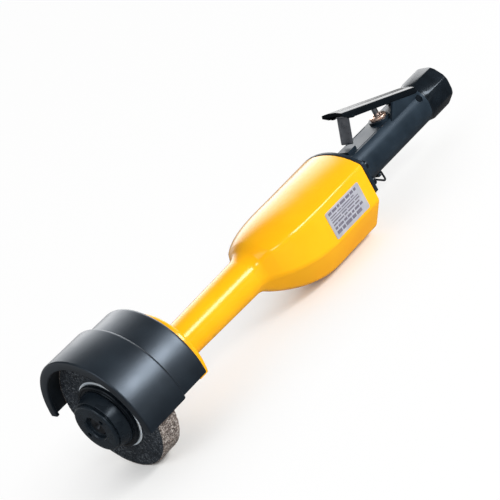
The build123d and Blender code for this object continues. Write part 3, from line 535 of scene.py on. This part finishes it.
def makeWheel(size):
    bm = turned([(size["rear"], size["bore"], 0), (size["rear"], size["radius"], size["edge"]),
                 (size["front"], size["radius"], size["edge"]), (size["front"], size["bore"], 0)],
                steps=size["steps"])
    # rows across the faces and the rim, then the grain pushed in and out beyond the clamp flanges
    faceWidth = size["radius"] - size["edge"] - size["bore"]
    faceEdges = [edge for edge in bm.edges if abs(edge.calc_length() - faceWidth) < 0.5
                 and abs(edge.verts[0].co.x - edge.verts[1].co.x) < 0.01]
    rimEdges = [edge for edge in bm.edges
                if abs(edge.verts[0].co.x - edge.verts[1].co.x) > (size["front"] - size["rear"]) / 2
                and min(vert.co.yz.length for vert in edge.verts) > size["radius"] / 2]
    bmesh.ops.subdivide_edges(bm, edges=faceEdges, cuts=size["faceRows"], use_grid_fill=True)
    bmesh.ops.subdivide_edges(bm, edges=rimEdges, cuts=size["rimRows"], use_grid_fill=True)
    bm.normal_update()
    for vert in bm.verts:
        if vert.co.yz.length > size["clampRadius"]:
            lift = noise.noise(vert.co / size["cell"]) - abs(noise.noise(vert.co / size["pits"]))
            vert.co += vert.normal * lift * size["grain"]
    return bm


makePiece("grindingWheel", makeWheel(wheel), gritWheel, "spindle_group", ["grinding_wheel"],
          sharp=60)

blotter = {"rear": 452.72, "front": 453.3, "radius": 30, "rearEdge": 0.15, "frontEdge": 0.2, "bore": 8}
makePiece("frontBlotter", turned([(blotter["rear"], blotter["bore"], 0),
                                  (blotter["rear"], blotter["radius"], blotter["rearEdge"]),
                                  (blotter["front"], blotter["radius"], blotter["frontEdge"]),
                                  (blotter["front"], blotter["bore"], 0)]),
          blotterCard, "spindle_group", ["front_blotter"])

clampFlange = {"rear": 453.3, "front": 456.7, "radius": 28.5, "rearEdge": 0.3, "frontEdge": 1.4, "bore": 8,
               "grooveOut": 26.2, "grooveIn": 24.7, "grooveSlope": 0.3, "grooveDepth": 0.5}


# a disc with a shallow groove in its front face
def makeClampFlange(size):
    floor = size["front"] - size["grooveDepth"]
    return turned([(size["rear"], size["bore"], 0),
                   (size["rear"], size["radius"], size["rearEdge"]),
                   (size["front"], size["radius"], size["frontEdge"]),
                   (size["front"], size["grooveOut"], 0.3),
                   (floor, size["grooveOut"] - size["grooveSlope"], 0.2),
                   (floor, size["grooveIn"] + size["grooveSlope"], 0.2),
                   (size["front"], size["grooveIn"], 0.3),
                   (size["front"], size["bore"], 0)])


makePiece("outerFlange", makeClampFlange(clampFlange), blackOxide, "spindle_group",
          ["outer_flange"])

nut = {"rear": 456.7, "front": 470.0, "radius": 21.4, "seat": 24.6, "seatChamfer": 0.8, "groove": 466.6,
       "grooveEnd": 467.4, "grooveRadius": 19.8, "disc": 20.7, "discRound": 1.7, "recess": 9.6,
       "recessEase": 1.1, "recessDepth": 3.5, "bore": 7.95, "pinHole": 1.9, "pinCircle": 13.6, "pinAngle": 27,
       "pinDepth": 6}


# a collar that tapers to the front, a groove, a front disc with a recess, and two holes for a pin spanner
def makeNut(size):
    recessFloor = size["front"] - size["recessDepth"]
    body = turned([(size["rear"], size["bore"], 0),
                   (size["rear"], size["seat"] - size["seatChamfer"], 0.3),
                   (size["rear"] + size["seatChamfer"], size["seat"], 0.7),
                   (size["groove"], size["radius"], 0.5),
                   (size["groove"], size["grooveRadius"], 0.2),
                   (size["grooveEnd"], size["grooveRadius"], 0.2),
                   (size["grooveEnd"], size["disc"], 0.5),
                   (size["front"], size["disc"], size["discRound"]),
                   (size["front"], size["recess"] + size["recessEase"], 0.7),
                   (size["front"] - size["recessEase"], size["recess"], 0.5),
                   (recessFloor, size["recess"], 0.4),
                   (recessFloor, size["bore"], 0.3)])
    holes = []
    for angle in (size["pinAngle"], size["pinAngle"] + 180):
        y = size["pinCircle"] * math.cos(math.radians(angle))
        z = size["pinCircle"] * math.sin(math.radians(angle))
        hole = rod((size["front"] - size["pinDepth"], y, z), (size["front"] + 1, y, z), size["pinHole"], 32)
        holes.append(("DIFFERENCE", hole))
    return combined(body, holes)


makePiece("wheelNut", makeNut(nut), phosphate, "spindle_group", ["wheel_nut"], edge=0.2,
          edgeAngle=45)

inlet = {"length": 36, "flats": 38.4, "corner": 0.8, "mouth": 15, "mouthLength": 3.5, "rearRadius": 19.7,
         "rearChamfer": 1.5, "frontChamfer": 7.5, "collar": 18.5, "collarLength": 2.5, "bore": 7.48,
         "boreDepth": 12, "boreEase": 2.2, "seat": 12.55, "threadStart": 1.6, "threadPitch": 1.34,
         "threadDepth": 0.8}


# an octagon along the axis, one flat up, with its long corners eased
def octagonBar(flats, length, easing):
    bm = bmesh.new()
    bmesh.ops.create_circle(bm, cap_ends=True, segments=8, radius=flats / 2 / math.cos(math.pi / 8))
    drawOut(bm, bm.faces[:], (0, 0, length))
    long = [edge for edge in bm.edges if abs(edge.verts[0].co.z - edge.verts[1].co.z) > 1]
    bmesh.ops.bevel(bm, geom=long, offset=easing, offset_type="OFFSET", segments=4, profile=0.5,
                    affect="EDGES", material=-1)
    lay = Matrix.Rotation(math.pi / 8, 4, "X") @ Matrix.Rotation(math.pi / 2, 4, "Y")
    bmesh.ops.transform(bm, matrix=lay, verts=bm.verts)
    bmesh.ops.recalc_face_normals(bm, faces=bm.faces)
    return bm


def makeInlet(size):
    corner = size["flats"] / 2 / math.cos(math.pi / 8) + 0.2
    collarStart = size["length"] - size["collarLength"]
    envelope = turned([(0, 2, 0), (0, size["mouth"], 0.8), (size["mouthLength"], size["mouth"], 0.3),
                       (size["mouthLength"], size["rearRadius"], 0.5),
                       (size["mouthLength"] + size["rearChamfer"], corner, 0),
                       (collarStart - size["frontChamfer"], corner, 0),
                       (collarStart, size["collar"], 0.6),
                       (size["length"], size["collar"], 0.3), (size["length"], 2, 0)])
    # the mouth is a chamfer and a run of thread crests drawn as rings
    mouth = [(-1, 3, 0), (-1, size["bore"] + size["boreEase"], 0), (1.2, size["bore"], 0)]
    x = size["threadStart"]
    while x + size["threadPitch"] < size["boreDepth"]:
        mouth += [(x, size["bore"], 0), (x + size["threadPitch"] / 2, size["bore"] + size["threadDepth"], 0)]
        x += size["threadPitch"]
    mouth += [(size["boreDepth"], size["bore"], 0), (size["boreDepth"], 3, 0)]
    seat = rod((size["boreDepth"] - 0.01, 0, 0), (size["length"] + 1, 0, 0), size["seat"], 64)
    octagon = octagonBar(size["flats"], size["length"], size["corner"])
    return combined(octagon, [("INTERSECT", envelope), ("DIFFERENCE", turned(mouth)), ("DIFFERENCE", seat)])


makePiece("inletBushing", makeInlet(inlet), blackOxide, "tool", ["inlet_bushing"], edge=0.35)

lever = {"pinX": 42, "pinZ": 9.6, "pinHole": 2.05, "tilt": 18.9, "reach": 92, "top": 10.2, "crown": 1.4,
         "width": 24, "sheet": 2, "depth": 5.8, "frontDepth": 5.4, "lip": 2.6, "wallReach": 85,
         "taperReach": 52, "ear": 4.4, "edge": 1.3, "lockReach": 79.8, "lockRise": 5.7, "lockHole": 1.25,
         "lugRadius": 1.9, "lugDrop": 0.4}
lock = {"width": 12, "thickness": 2.5, "legLength": 24, "legAngle": -65.5, "hub": 1.9}
leverTurn = Matrix.Rotation(math.radians(-lever["tilt"]), 4, "Y")
leverPlace = Matrix.Translation((lever["pinX"], 0, lever["pinZ"])) @ leverTurn


# a place on the lever at rest, from its reach along the lever and its rise above the pin
def onLever(reach, rise):
    return leverPlace @ Vector((reach, 0, rise))


handle = {"start": 36, "end": 153, "radius": 18.6, "flat": 14.0, "cheekIn": 12.4, "cheekOut": 14.6,
          "cheekRear": 37.5, "cheekLow": 2, "cheekShoulder": 12.4, "cheekSlope": 9.5, "cheekDrop": 5.4,
          "nearCheek": 81.5, "farCheek": 54, "foot": 4, "boss": 9.5, "bossTop": 16.5, "valve": 80,
          "slotStart": 36.8, "slotEnd": 53.4, "slotIn": 9.6, "slotLow": 4.4, "grooveStart": 89.5,
          "grooveEnd": 135.5, "grooveOut": 11.05, "grooveIn": 9.85, "grooveDepth": 0.9, "stopSetback": 2,
          "stopLength": 11, "stopHalf": 6, "stopTop": 16.6, "pinHead": 3.45, "lugX": 111, "lugHalf": 1.6,
          "lugWidth": 2, "lugLow": -23.45, "lugTop": -12, "loopZ": -21, "loopHole": 1.25, "loopReach": 4,
          "plugHole": 8.5, "plugLow": -20, "plugTop": -13.5, "cutReach": 40}


# the cheek that stands beside the lever on one side, up to its slope
def makeCheek(size, side, front):
    y = min(side * size["cheekIn"], side * size["cheekOut"])
    rise = lever["top"] - size["cheekDrop"]
    rear = onLever(0, rise)
    along = (front - size["cheekSlope"] - lever["pinX"]) / math.cos(math.radians(lever["tilt"]))
    top = onLever(along, rise)
    return pushed([((size["cheekRear"], y, size["cheekLow"]), 0), ((front, y, size["cheekLow"]), 0),
                   ((front, y, size["cheekShoulder"]), 3), ((top.x, y, top.z), 2), ((rear.x, y, rear.z), 1),
                   ((size["cheekRear"], y, rear.z - 2), 1.5)], (0, size["cheekOut"] - size["cheekIn"], 0))


def makeHandle(size):
    bar = bmesh.new()
    bmesh.ops.create_circle(bar, cap_ends=True, segments=120, radius=size["radius"])
    lay = Matrix.Translation((size["start"], 0, 0)) @ Matrix.Rotation(math.pi / 2, 4, "Y")
    bmesh.ops.transform(bar, matrix=lay, verts=bar.verts)
    bmesh.ops.bisect_plane(bar, geom=everything(bar), plane_co=(0, 0, size["flat"]), plane_no=(0, 0, 1),
                           clear_outer=True)
    drawOut(bar, bar.faces[:], (size["end"] - size["start"], 0, 0))
    added = [makeCheek(size, 1, size["nearCheek"]), makeCheek(size, -1, size["farCheek"]),
             rod((size["valve"], 0, size["foot"]), (size["valve"], 0, size["bossTop"]), size["boss"], 64)]
    # the pad under the lock's foot
    foot = onLever(lever["lockReach"], lever["lockRise"]).x
    foot += lock["legLength"] * math.cos(math.radians(lock["legAngle"]))
    stop = foot - size["stopSetback"]
    added.append(box((stop, -size["stopHalf"], size["foot"]),
                     (stop + size["stopLength"], size["stopHalf"], size["stopTop"])))
    # the lug of the hanging loop
    added.append(box((size["lugX"] - size["lugHalf"], -size["lugWidth"], size["lugLow"]),
                     (size["lugX"] + size["lugHalf"], size["lugWidth"], size["lugTop"])))
    cut = []
    clear = size["cutReach"]
    for side in (1, -1):
        # the lever's slot, the groove along the flat and the seat of the pin's head
        low, high = sorted((side * size["slotIn"], side * size["cheekIn"]))
        cut.append(box((size["slotStart"], low, size["slotLow"]), (size["slotEnd"], high, clear)))
        low, high = sorted((side * size["grooveIn"], side * size["grooveOut"]))
        cut.append(box((size["grooveStart"], low, size["flat"] - size["grooveDepth"]),
                       (size["grooveEnd"], high, clear)))
        cut.append(rod((lever["pinX"], side * size["cheekOut"], lever["pinZ"]),
                       (lever["pinX"], side * clear, lever["pinZ"]), size["pinHead"]))
    # the loop's hole and the bore of the valve's plug
    cut.append(rod((size["lugX"] - size["loopReach"], 0, size["loopZ"]),
                   (size["lugX"] + size["loopReach"], 0, size["loopZ"]), size["loopHole"], 24))
    cut.append(rod((size["valve"], 0, size["plugLow"]), (size["valve"], 0, size["plugTop"]),
                   size["plugHole"], 64))
    return combined(bar, [("UNION", shape) for shape in added] + [("DIFFERENCE", shape) for shape in cut])


makePiece("throttleHandle", makeHandle(handle), blackCasting, "tool", ["throttle_handle"],
          edge=0.45)

flangePlate = {"rear": 152, "front": 155.4, "low": -12}


# the plate that bolts to the casing, cut from the casing's own section
def makeFlangePlate(size):
    bm = bmesh.new()
    edges = addCasingRing(bm, size["rear"], casing["halfWidth"], casing["rearTop"], casing["bottom"],
                          casing["corners"])
    bmesh.ops.edgeloop_fill(bm, edges=edges)
    bmesh.ops.bisect_plane(bm, geom=everything(bm), plane_co=(0, 0, size["low"]), plane_no=(0, 0, -1),
                           clear_outer=True)
    drawOut(bm, bm.faces[:], (size["front"] - size["rear"], 0, 0))
    return bm


makePiece("handleFlange", makeFlangePlate(flangePlate), blackCasting, "tool",
          ["throttle_handle"], edge=0.8)


# a crowned channel: its side wall pushed across, rounded over the top and hollowed from below
def makeLever(size):
    half = size["width"] / 2
    ear = size["ear"]
    peak = size["top"] + size["crown"]
    low = size["top"] - size["depth"]
    frontLow = size["top"] - size["frontDepth"]
    lugRear, lugFront = size["lockReach"] - size["lugRadius"], size["lockReach"] + size["lugRadius"]
    lugLow, lugTop = size["lockRise"] - size["lugRadius"], frontLow - size["lugDrop"]
    # reach, rise and corner radius of each point of the side wall
    wall = [(-ear, -ear, ear * 0.98), (-ear, size["top"] * 0.4, 1.5), (-1.4, peak, 2.5),
            (size["reach"], peak, 0.8), (size["reach"], size["top"] - size["lip"], 0.6),
            (size["wallReach"], frontLow, 0.8), (lugFront, lugTop, 0.5), (lugFront, lugLow, 1.7),
            (lugRear, lugLow, 1.7), (lugRear, lugTop - 0.2, 0.5), (size["taperReach"], low, 6),
            (ear * 3, low, 3), (ear, -ear, ear * 0.9)]
    solid = pushed([((reach, -half, rise), corner) for reach, rise, corner in wall], (0, size["width"], 0))
    crownRadius = (half ** 2 + size["crown"] ** 2) / (2 * size["crown"])
    middle = peak - crownRadius
    crown = rod((-20, 0, middle), (size["reach"] + 20, 0, middle), crownRadius, 360)
    solid = combined(solid, [("INTERSECT", crown)])
    # the two long edges of the top
    rim = [edge for edge in solid.edges if edge.calc_length() > 20
           and all(abs(abs(vert.co.y) - half) < 0.01 for vert in edge.verts)
           and all(vert.co.z > size["top"] - 0.1 for vert in edge.verts)]
    bmesh.ops.bevel(solid, geom=rim, offset=size["edge"], offset_type="OFFSET", segments=5, profile=0.5,
                    affect="EDGES", material=-1)
    inner = half - size["sheet"]
    hollow = box((-20, -inner, -20), (size["reach"] + 10, inner, size["top"] - size["sheet"]))
    pinHole = rod((0, -20, 0), (0, 20, 0), size["pinHole"])
    lockHole = rod((size["lockReach"], -20, size["lockRise"]), (size["lockReach"], 20, size["lockRise"]),
                   size["lockHole"], 32)
    bm = combined(solid, [("DIFFERENCE", shape) for shape in (hollow, pinHole, lockHole)])
    bmesh.ops.transform(bm, matrix=leverPlace, verts=bm.verts)
    return bm


makePiece("throttleLever", makeLever(lever), glossBlack, "lever", ["throttle_lever"], edge=0.3)


# a flat leg with a round foot, hung from its hub
def makeLock(size):
    pin = onLever(lever["lockReach"], lever["lockRise"])
    half, bar = size["width"] / 2, size["thickness"] / 2
    angle = math.radians(size["legAngle"])
    along = Vector((math.cos(angle), 0, math.sin(angle)))
    across = Vector((-along.z, 0, along.x)) * bar
    foot = pin + along * size["legLength"]
    side = Vector((0, half, 0))
    leg = pushed([(pin + across - side, 0), (foot + across - side, bar * 0.98),
                  (foot - across - side, bar * 0.98), (pin - across - side, 0)], (0, size["width"], 0))
    hub = rod((pin.x, -half, pin.z), (pin.x, half, pin.z), size["hub"])
    hole = rod((pin.x, -half - 2, pin.z), (pin.x, half + 2, pin.z), lever["lockHole"], 32)
    return combined(leg, [("UNION", hub), ("DIFFERENCE", hole)])


makePiece("lockLever", makeLock(lock), wornOxide, "lock", ["lock_lever"], edge=0.3)

bush = {"x": 80, "foot": 10.5, "low": 16.5, "top": 19.1, "radius": 7.5, "round": 1.0, "bore": 2.6,
        "boreEase": 1.2, "thread": 6.4}


# a turned bush, stood up on the handle
def makeBush(size):
    bm = turned([(size["foot"], size["bore"], 0), (size["foot"], size["thread"], 0),
                 (size["low"], size["thread"], 0), (size["low"], size["radius"], 0.5),
                 (size["top"], size["radius"], size["round"]),
                 (size["top"], size["bore"] + size["boreEase"], 0.4),
                 (size["top"] - 0.8, size["bore"], 0.2)], steps=64)
    stand = Matrix.Translation((size["x"], 0, 0)) @ Matrix.Rotation(-math.pi / 2, 4, "Y")
    bmesh.ops.transform(bm, matrix=stand, verts=bm.verts)
    return bm


makePiece("valveBush", makeBush(bush), agedBrass, "tool", ["valve_bush"])

spring = {"x": 80, "radius": 4.4, "wire": 0.9, "turns": 4, "travel": 3.4, "steps": 24}


# a round wire wound up in one spin
def makeSpring(low, high):
    wire = spring["wire"] / 2
    steps = spring["turns"] * spring["steps"]
    bm = bmesh.new()
    bmesh.ops.create_circle(bm, cap_ends=True, segments=12, radius=wire)
    lay = Matrix.Translation((spring["radius"], 0, 0)) @ Matrix.Rotation(math.pi / 2, 4, "X")
    bmesh.ops.transform(bm, matrix=lay, verts=bm.verts)
    bmesh.ops.spin(bm, geom=everything(bm), cent=(0, 0, 0), axis=(0, 0, 1),
                   dvec=(0, 0, (high - low - 2 * wire) / steps), angle=2 * math.pi * spring["turns"],
                   steps=steps)
    bmesh.ops.recalc_face_normals(bm, faces=bm.faces)
    bmesh.ops.translate(bm, vec=(spring["x"], 0, low + wire), verts=bm.verts)
    return bm


# the real spring shortens as the valve goes down; here it is wound once between the CAD spring's ends, on a
# mesh of its own
springLow, springHigh = [corner.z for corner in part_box("valve_spring")]
valveSpring = makePiece("valveSpring", makeSpring(springLow / mm, springHigh / mm), oiledSteel, "tool",
                        ["valve_spring"])
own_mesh(valveSpring)

plate = {"x": (169.25, 215.75), "y": (37.6, 38.4), "z": (-16.75, 7.95), "corner": 1.4, "rim": 0.9,
         "sink": 0.12}


# a plate with a raised rim
def makePlate(size):
    (rear, front), (inside, outside), (low, high) = size["x"], size["y"], size["z"]
    outline = ((rear, low), (front, low), (front, high), (rear, high))
    bm = pushed([((x, inside, z), size["corner"]) for x, z in outline], (0, outside - inside, 0))
    fronts = [face for face in bm.faces if face.normal.y > 0.9]
    bmesh.ops.inset_region(bm, faces=fronts, thickness=size["rim"], use_even_offset=True)
    bmesh.ops.translate(bm, verts=list({vert for face in fronts for vert in face.verts}),
                        vec=(0, -size["sink"], 0))
    return bm


makePiece("nameplate", makePlate(plate), plateMetal, "tool", ["nameplate"], edge=0.12)

# plain bars in rows on the plate: each row is its height, its thickness and the lengths of its bars
marks = {"margin": 3.2, "gap": 1.1, "proud": 0.03, "sunk": 0.2,
         "rows": [(4.9, 2.4, (4, 6, 3, 7, 5, 4, 3)), (1.7, 1.0, (9, 5, 12, 4)), (-0.4, 0.8, (38,)),
                  (-2.6, 1.2, (12, 7, 10, 6)), (-5.2, 1.3, (5, 8, 4, 9, 6)),
                  (-8.4, 2.1, (3, 7, 4, 5, 3, 6, 4)), (-12.3, 2.9, (6, 4, 8, 5, 7))]}


def makeMarks():
    bm = bmesh.new()
    y = plate["y"][1] - plate["sink"]
    for z, tall, lengths in marks["rows"]:
        x = plate["x"][1] - marks["margin"]
        for length in lengths:
            addBox(bm, (x - length, y - marks["sunk"], z - tall / 2), (x, y + marks["proud"], z + tall / 2))
            x -= length + marks["gap"]
    return bm


makePiece("plateMarks", makeMarks(), etchedInk, "tool", ["nameplate"])

# finishes for the CAD pieces that stay as they are
cadFinishes = {
    "black_steel": blackOxide, "guard_steel": blackPowder, "black_casting": blackCasting,
    "yellow_casting": yellowEnamel, "steel": groundSteel, "bright_steel": zincPlate,
    "bearing_steel": groundSteel, "iron": machinedIron, "brass": agedBrass, "plate": plateMetal,
    "abrasive": gritWheel, "paper": blotterCard, "rubber": mouldedRubber, "vane": phenolic,
    "felt": pressedFelt}
darkNodes = ("lock_spring", "spindle")
slotOf = {row["node"]: row["material_slot"] for row in frame["record"]["subparts"]}
for name, node in frame["nodes"].items():
    node.data.materials.clear()
    node.data.materials.append(oiledSteel if name in darkNodes else cadFinishes[slotOf[name]])
print("CAD pieces dressed:", len(slotOf))

stage = {"floorZ": -0.0502, "size": 8, "floor": "#EEEEEC", "white": 0.97, "contact": 0.10, "shade": 0.14,
         "bright": 0.9, "middle": (0.235, 0, 0), "length": 1.6, "clear": (0.25, 0.8)}


# pale paper that keeps a faint shadow
def makePaper():
    material = bpy.data.materials.new("paperSweep")
    material.use_nodes = True
    tree = material.node_tree
    surface = tree.nodes["Principled BSDF"]
    surface.inputs["Base Color"].default_value = paint(stage["floor"])
    surface.inputs["Roughness"].default_value = 0.9
    surface.inputs["Specular IOR Level"].default_value = 0.0
    rays = addNode(tree, "ShaderNodeLightPath").outputs
    # near the tool ambient occlusion fades the white glow: a painted contact shade, through which the lit
    # floor's real shadow shows
    near = addNode(tree, "ShaderNodeAmbientOcclusion", {"Distance": stage["contact"]})
    seen = addNode(tree, "ShaderNodeMath", {0: rays["Is Camera Ray"], 1: near.outputs["AO"]},
                   operation="MULTIPLY")
    seen = addNode(tree, "ShaderNodeMath", {0: seen.outputs[0], 1: stage["white"]}, operation="MULTIPLY")
    # painted shadow for reflections: round the tool the floor's glow is held down to the shade level and
    # reaches white further out
    place = addNode(tree, "ShaderNodeTexCoord").outputs["Object"]
    away = addNode(tree, "ShaderNodeMapping", {
        "Vector": place, "Location": stage["middle"],
        "Scale": (stage["length"], 1, 0)}, vector_type="TEXTURE")
    away = addNode(tree, "ShaderNodeVectorMath", {0: away.outputs[0]}, operation="LENGTH")
    paintedShadow = addNode(tree, "ShaderNodeMapRange", {
        "Value": away.outputs["Value"], "From Min": stage["clear"][0], "From Max": stage["clear"][1],
        "To Min": stage["shade"], "To Max": stage["bright"]})
    bounced = addNode(tree, "ShaderNodeMath", {0: rays["Is Glossy Ray"], 1: rays["Is Transmission Ray"]},
                      operation="MAXIMUM")
    share = addNode(tree, "ShaderNodeMath", {0: seen.outputs[0], 1: bounced.outputs[0]}, operation="MAXIMUM")
    level = addNode(tree, "ShaderNodeMath", {0: rays["Is Camera Ray"], 1: paintedShadow.outputs[0]},
                    operation="MAXIMUM")
    white = addNode(tree, "ShaderNodeEmission", {"Color": (1, 1, 1, 1), "Strength": level.outputs[0]})
    mixed = addNode(tree, "ShaderNodeMixShader", {
        0: share.outputs[0], 1: surface.outputs[0], 2: white.outputs[0]})
    tree.links.new(mixed.outputs[0], tree.nodes["Material Output"].inputs["Surface"])
    return material


def makeFloor():
    bm = bmesh.new()
    bmesh.ops.create_grid(bm, x_segments=1, y_segments=1, size=stage["size"])
    bmesh.ops.translate(bm, vec=(0, 0, stage["floorZ"]), verts=bm.verts)
    mesh = bpy.data.meshes.new("floor")
    bm.to_mesh(mesh)
    bm.free()
    mesh.materials.append(makePaper())
    floor = bpy.data.objects.new("floor", mesh)
    scene.collection.objects.link(floor)


makeFloor()

# studio light: a long strip over the near side, a small lamp by the camera that sparks on edges that face it,
# a soft front fill, and a white wall behind on the left
lamps = {"keyStrip": {"at": (-0.38, 0.99, 0.68), "aim": (-0.38, 0, 0), "size": (1.0, 0.33), "watts": 19},
         "nearSpark": {"at": (0.74, 1.03, 0.60), "aim": (0.4, 0, 0), "size": (0.2, 0.13), "watts": 2.6},
         "frontFill": {"at": (1.45, 0.15, 1.0), "aim": (0.35, 0, 0), "size": (0.9, 0.9), "watts": 5.4}}
for name, lamp in lamps.items():
    light = bpy.data.lights.new(name, "AREA")
    light.shape = "RECTANGLE"
    light.size, light.size_y = lamp["size"]
    light.energy = lamp["watts"]
    item = bpy.data.objects.new(name, light)
    item.location = lamp["at"]
    item.rotation_euler = (Vector(lamp["aim"]) - Vector(lamp["at"])).to_track_quat("-Z", "Y").to_euler()
    scene.collection.objects.link(item)

studio = {"bright": (-0.74, -0.65, 0.15), "high": 3.5, "low": 0.2, "from": 0.76, "to": 0.96}
world = bpy.data.worlds.new("studio")
scene.world = world
world.use_nodes = True
sky = world.node_tree
look = addNode(sky, "ShaderNodeTexCoord").outputs["Generated"]
facing = addNode(sky, "ShaderNodeVectorMath", {0: look, 1: studio["bright"]}, operation="DOT_PRODUCT")
fade = addNode(sky, "ShaderNodeMapRange", {
    "Value": facing.outputs["Value"], "From Min": studio["from"], "From Max": studio["to"],
    "To Min": studio["low"], "To Max": studio["high"]}, interpolation_type="SMOOTHSTEP")
# the camera itself sees white wherever the floor ends
direct = addNode(sky, "ShaderNodeLightPath").outputs["Is Camera Ray"]
level = addNode(sky, "ShaderNodeMath", {0: fade.outputs["Result"], 1: direct}, operation="MAXIMUM")
sky.nodes["Background"].inputs["Color"].default_value = (1, 1, 1, 1)
sky.links.new(level.outputs[0], sky.nodes["Background"].inputs["Strength"])

view = {"at": (0.95776915, 0.94120102, 0.47464004), "turn": (65.4875, 27.6925, 131.8262), "lens": 113.775,
        "sensor": 36}
camera = bpy.data.objects.new("camera", bpy.data.cameras.new("camera"))
camera.location = view["at"]
camera.rotation_euler = [math.radians(angle) for angle in view["turn"]]
camera.data.lens = view["lens"]
camera.data.sensor_width = view["sensor"]
camera.data.clip_end = 40
scene.collection.objects.link(camera)
scene.camera = camera
scene.view_settings.view_transform = "Standard"
print("stage, light and camera set")
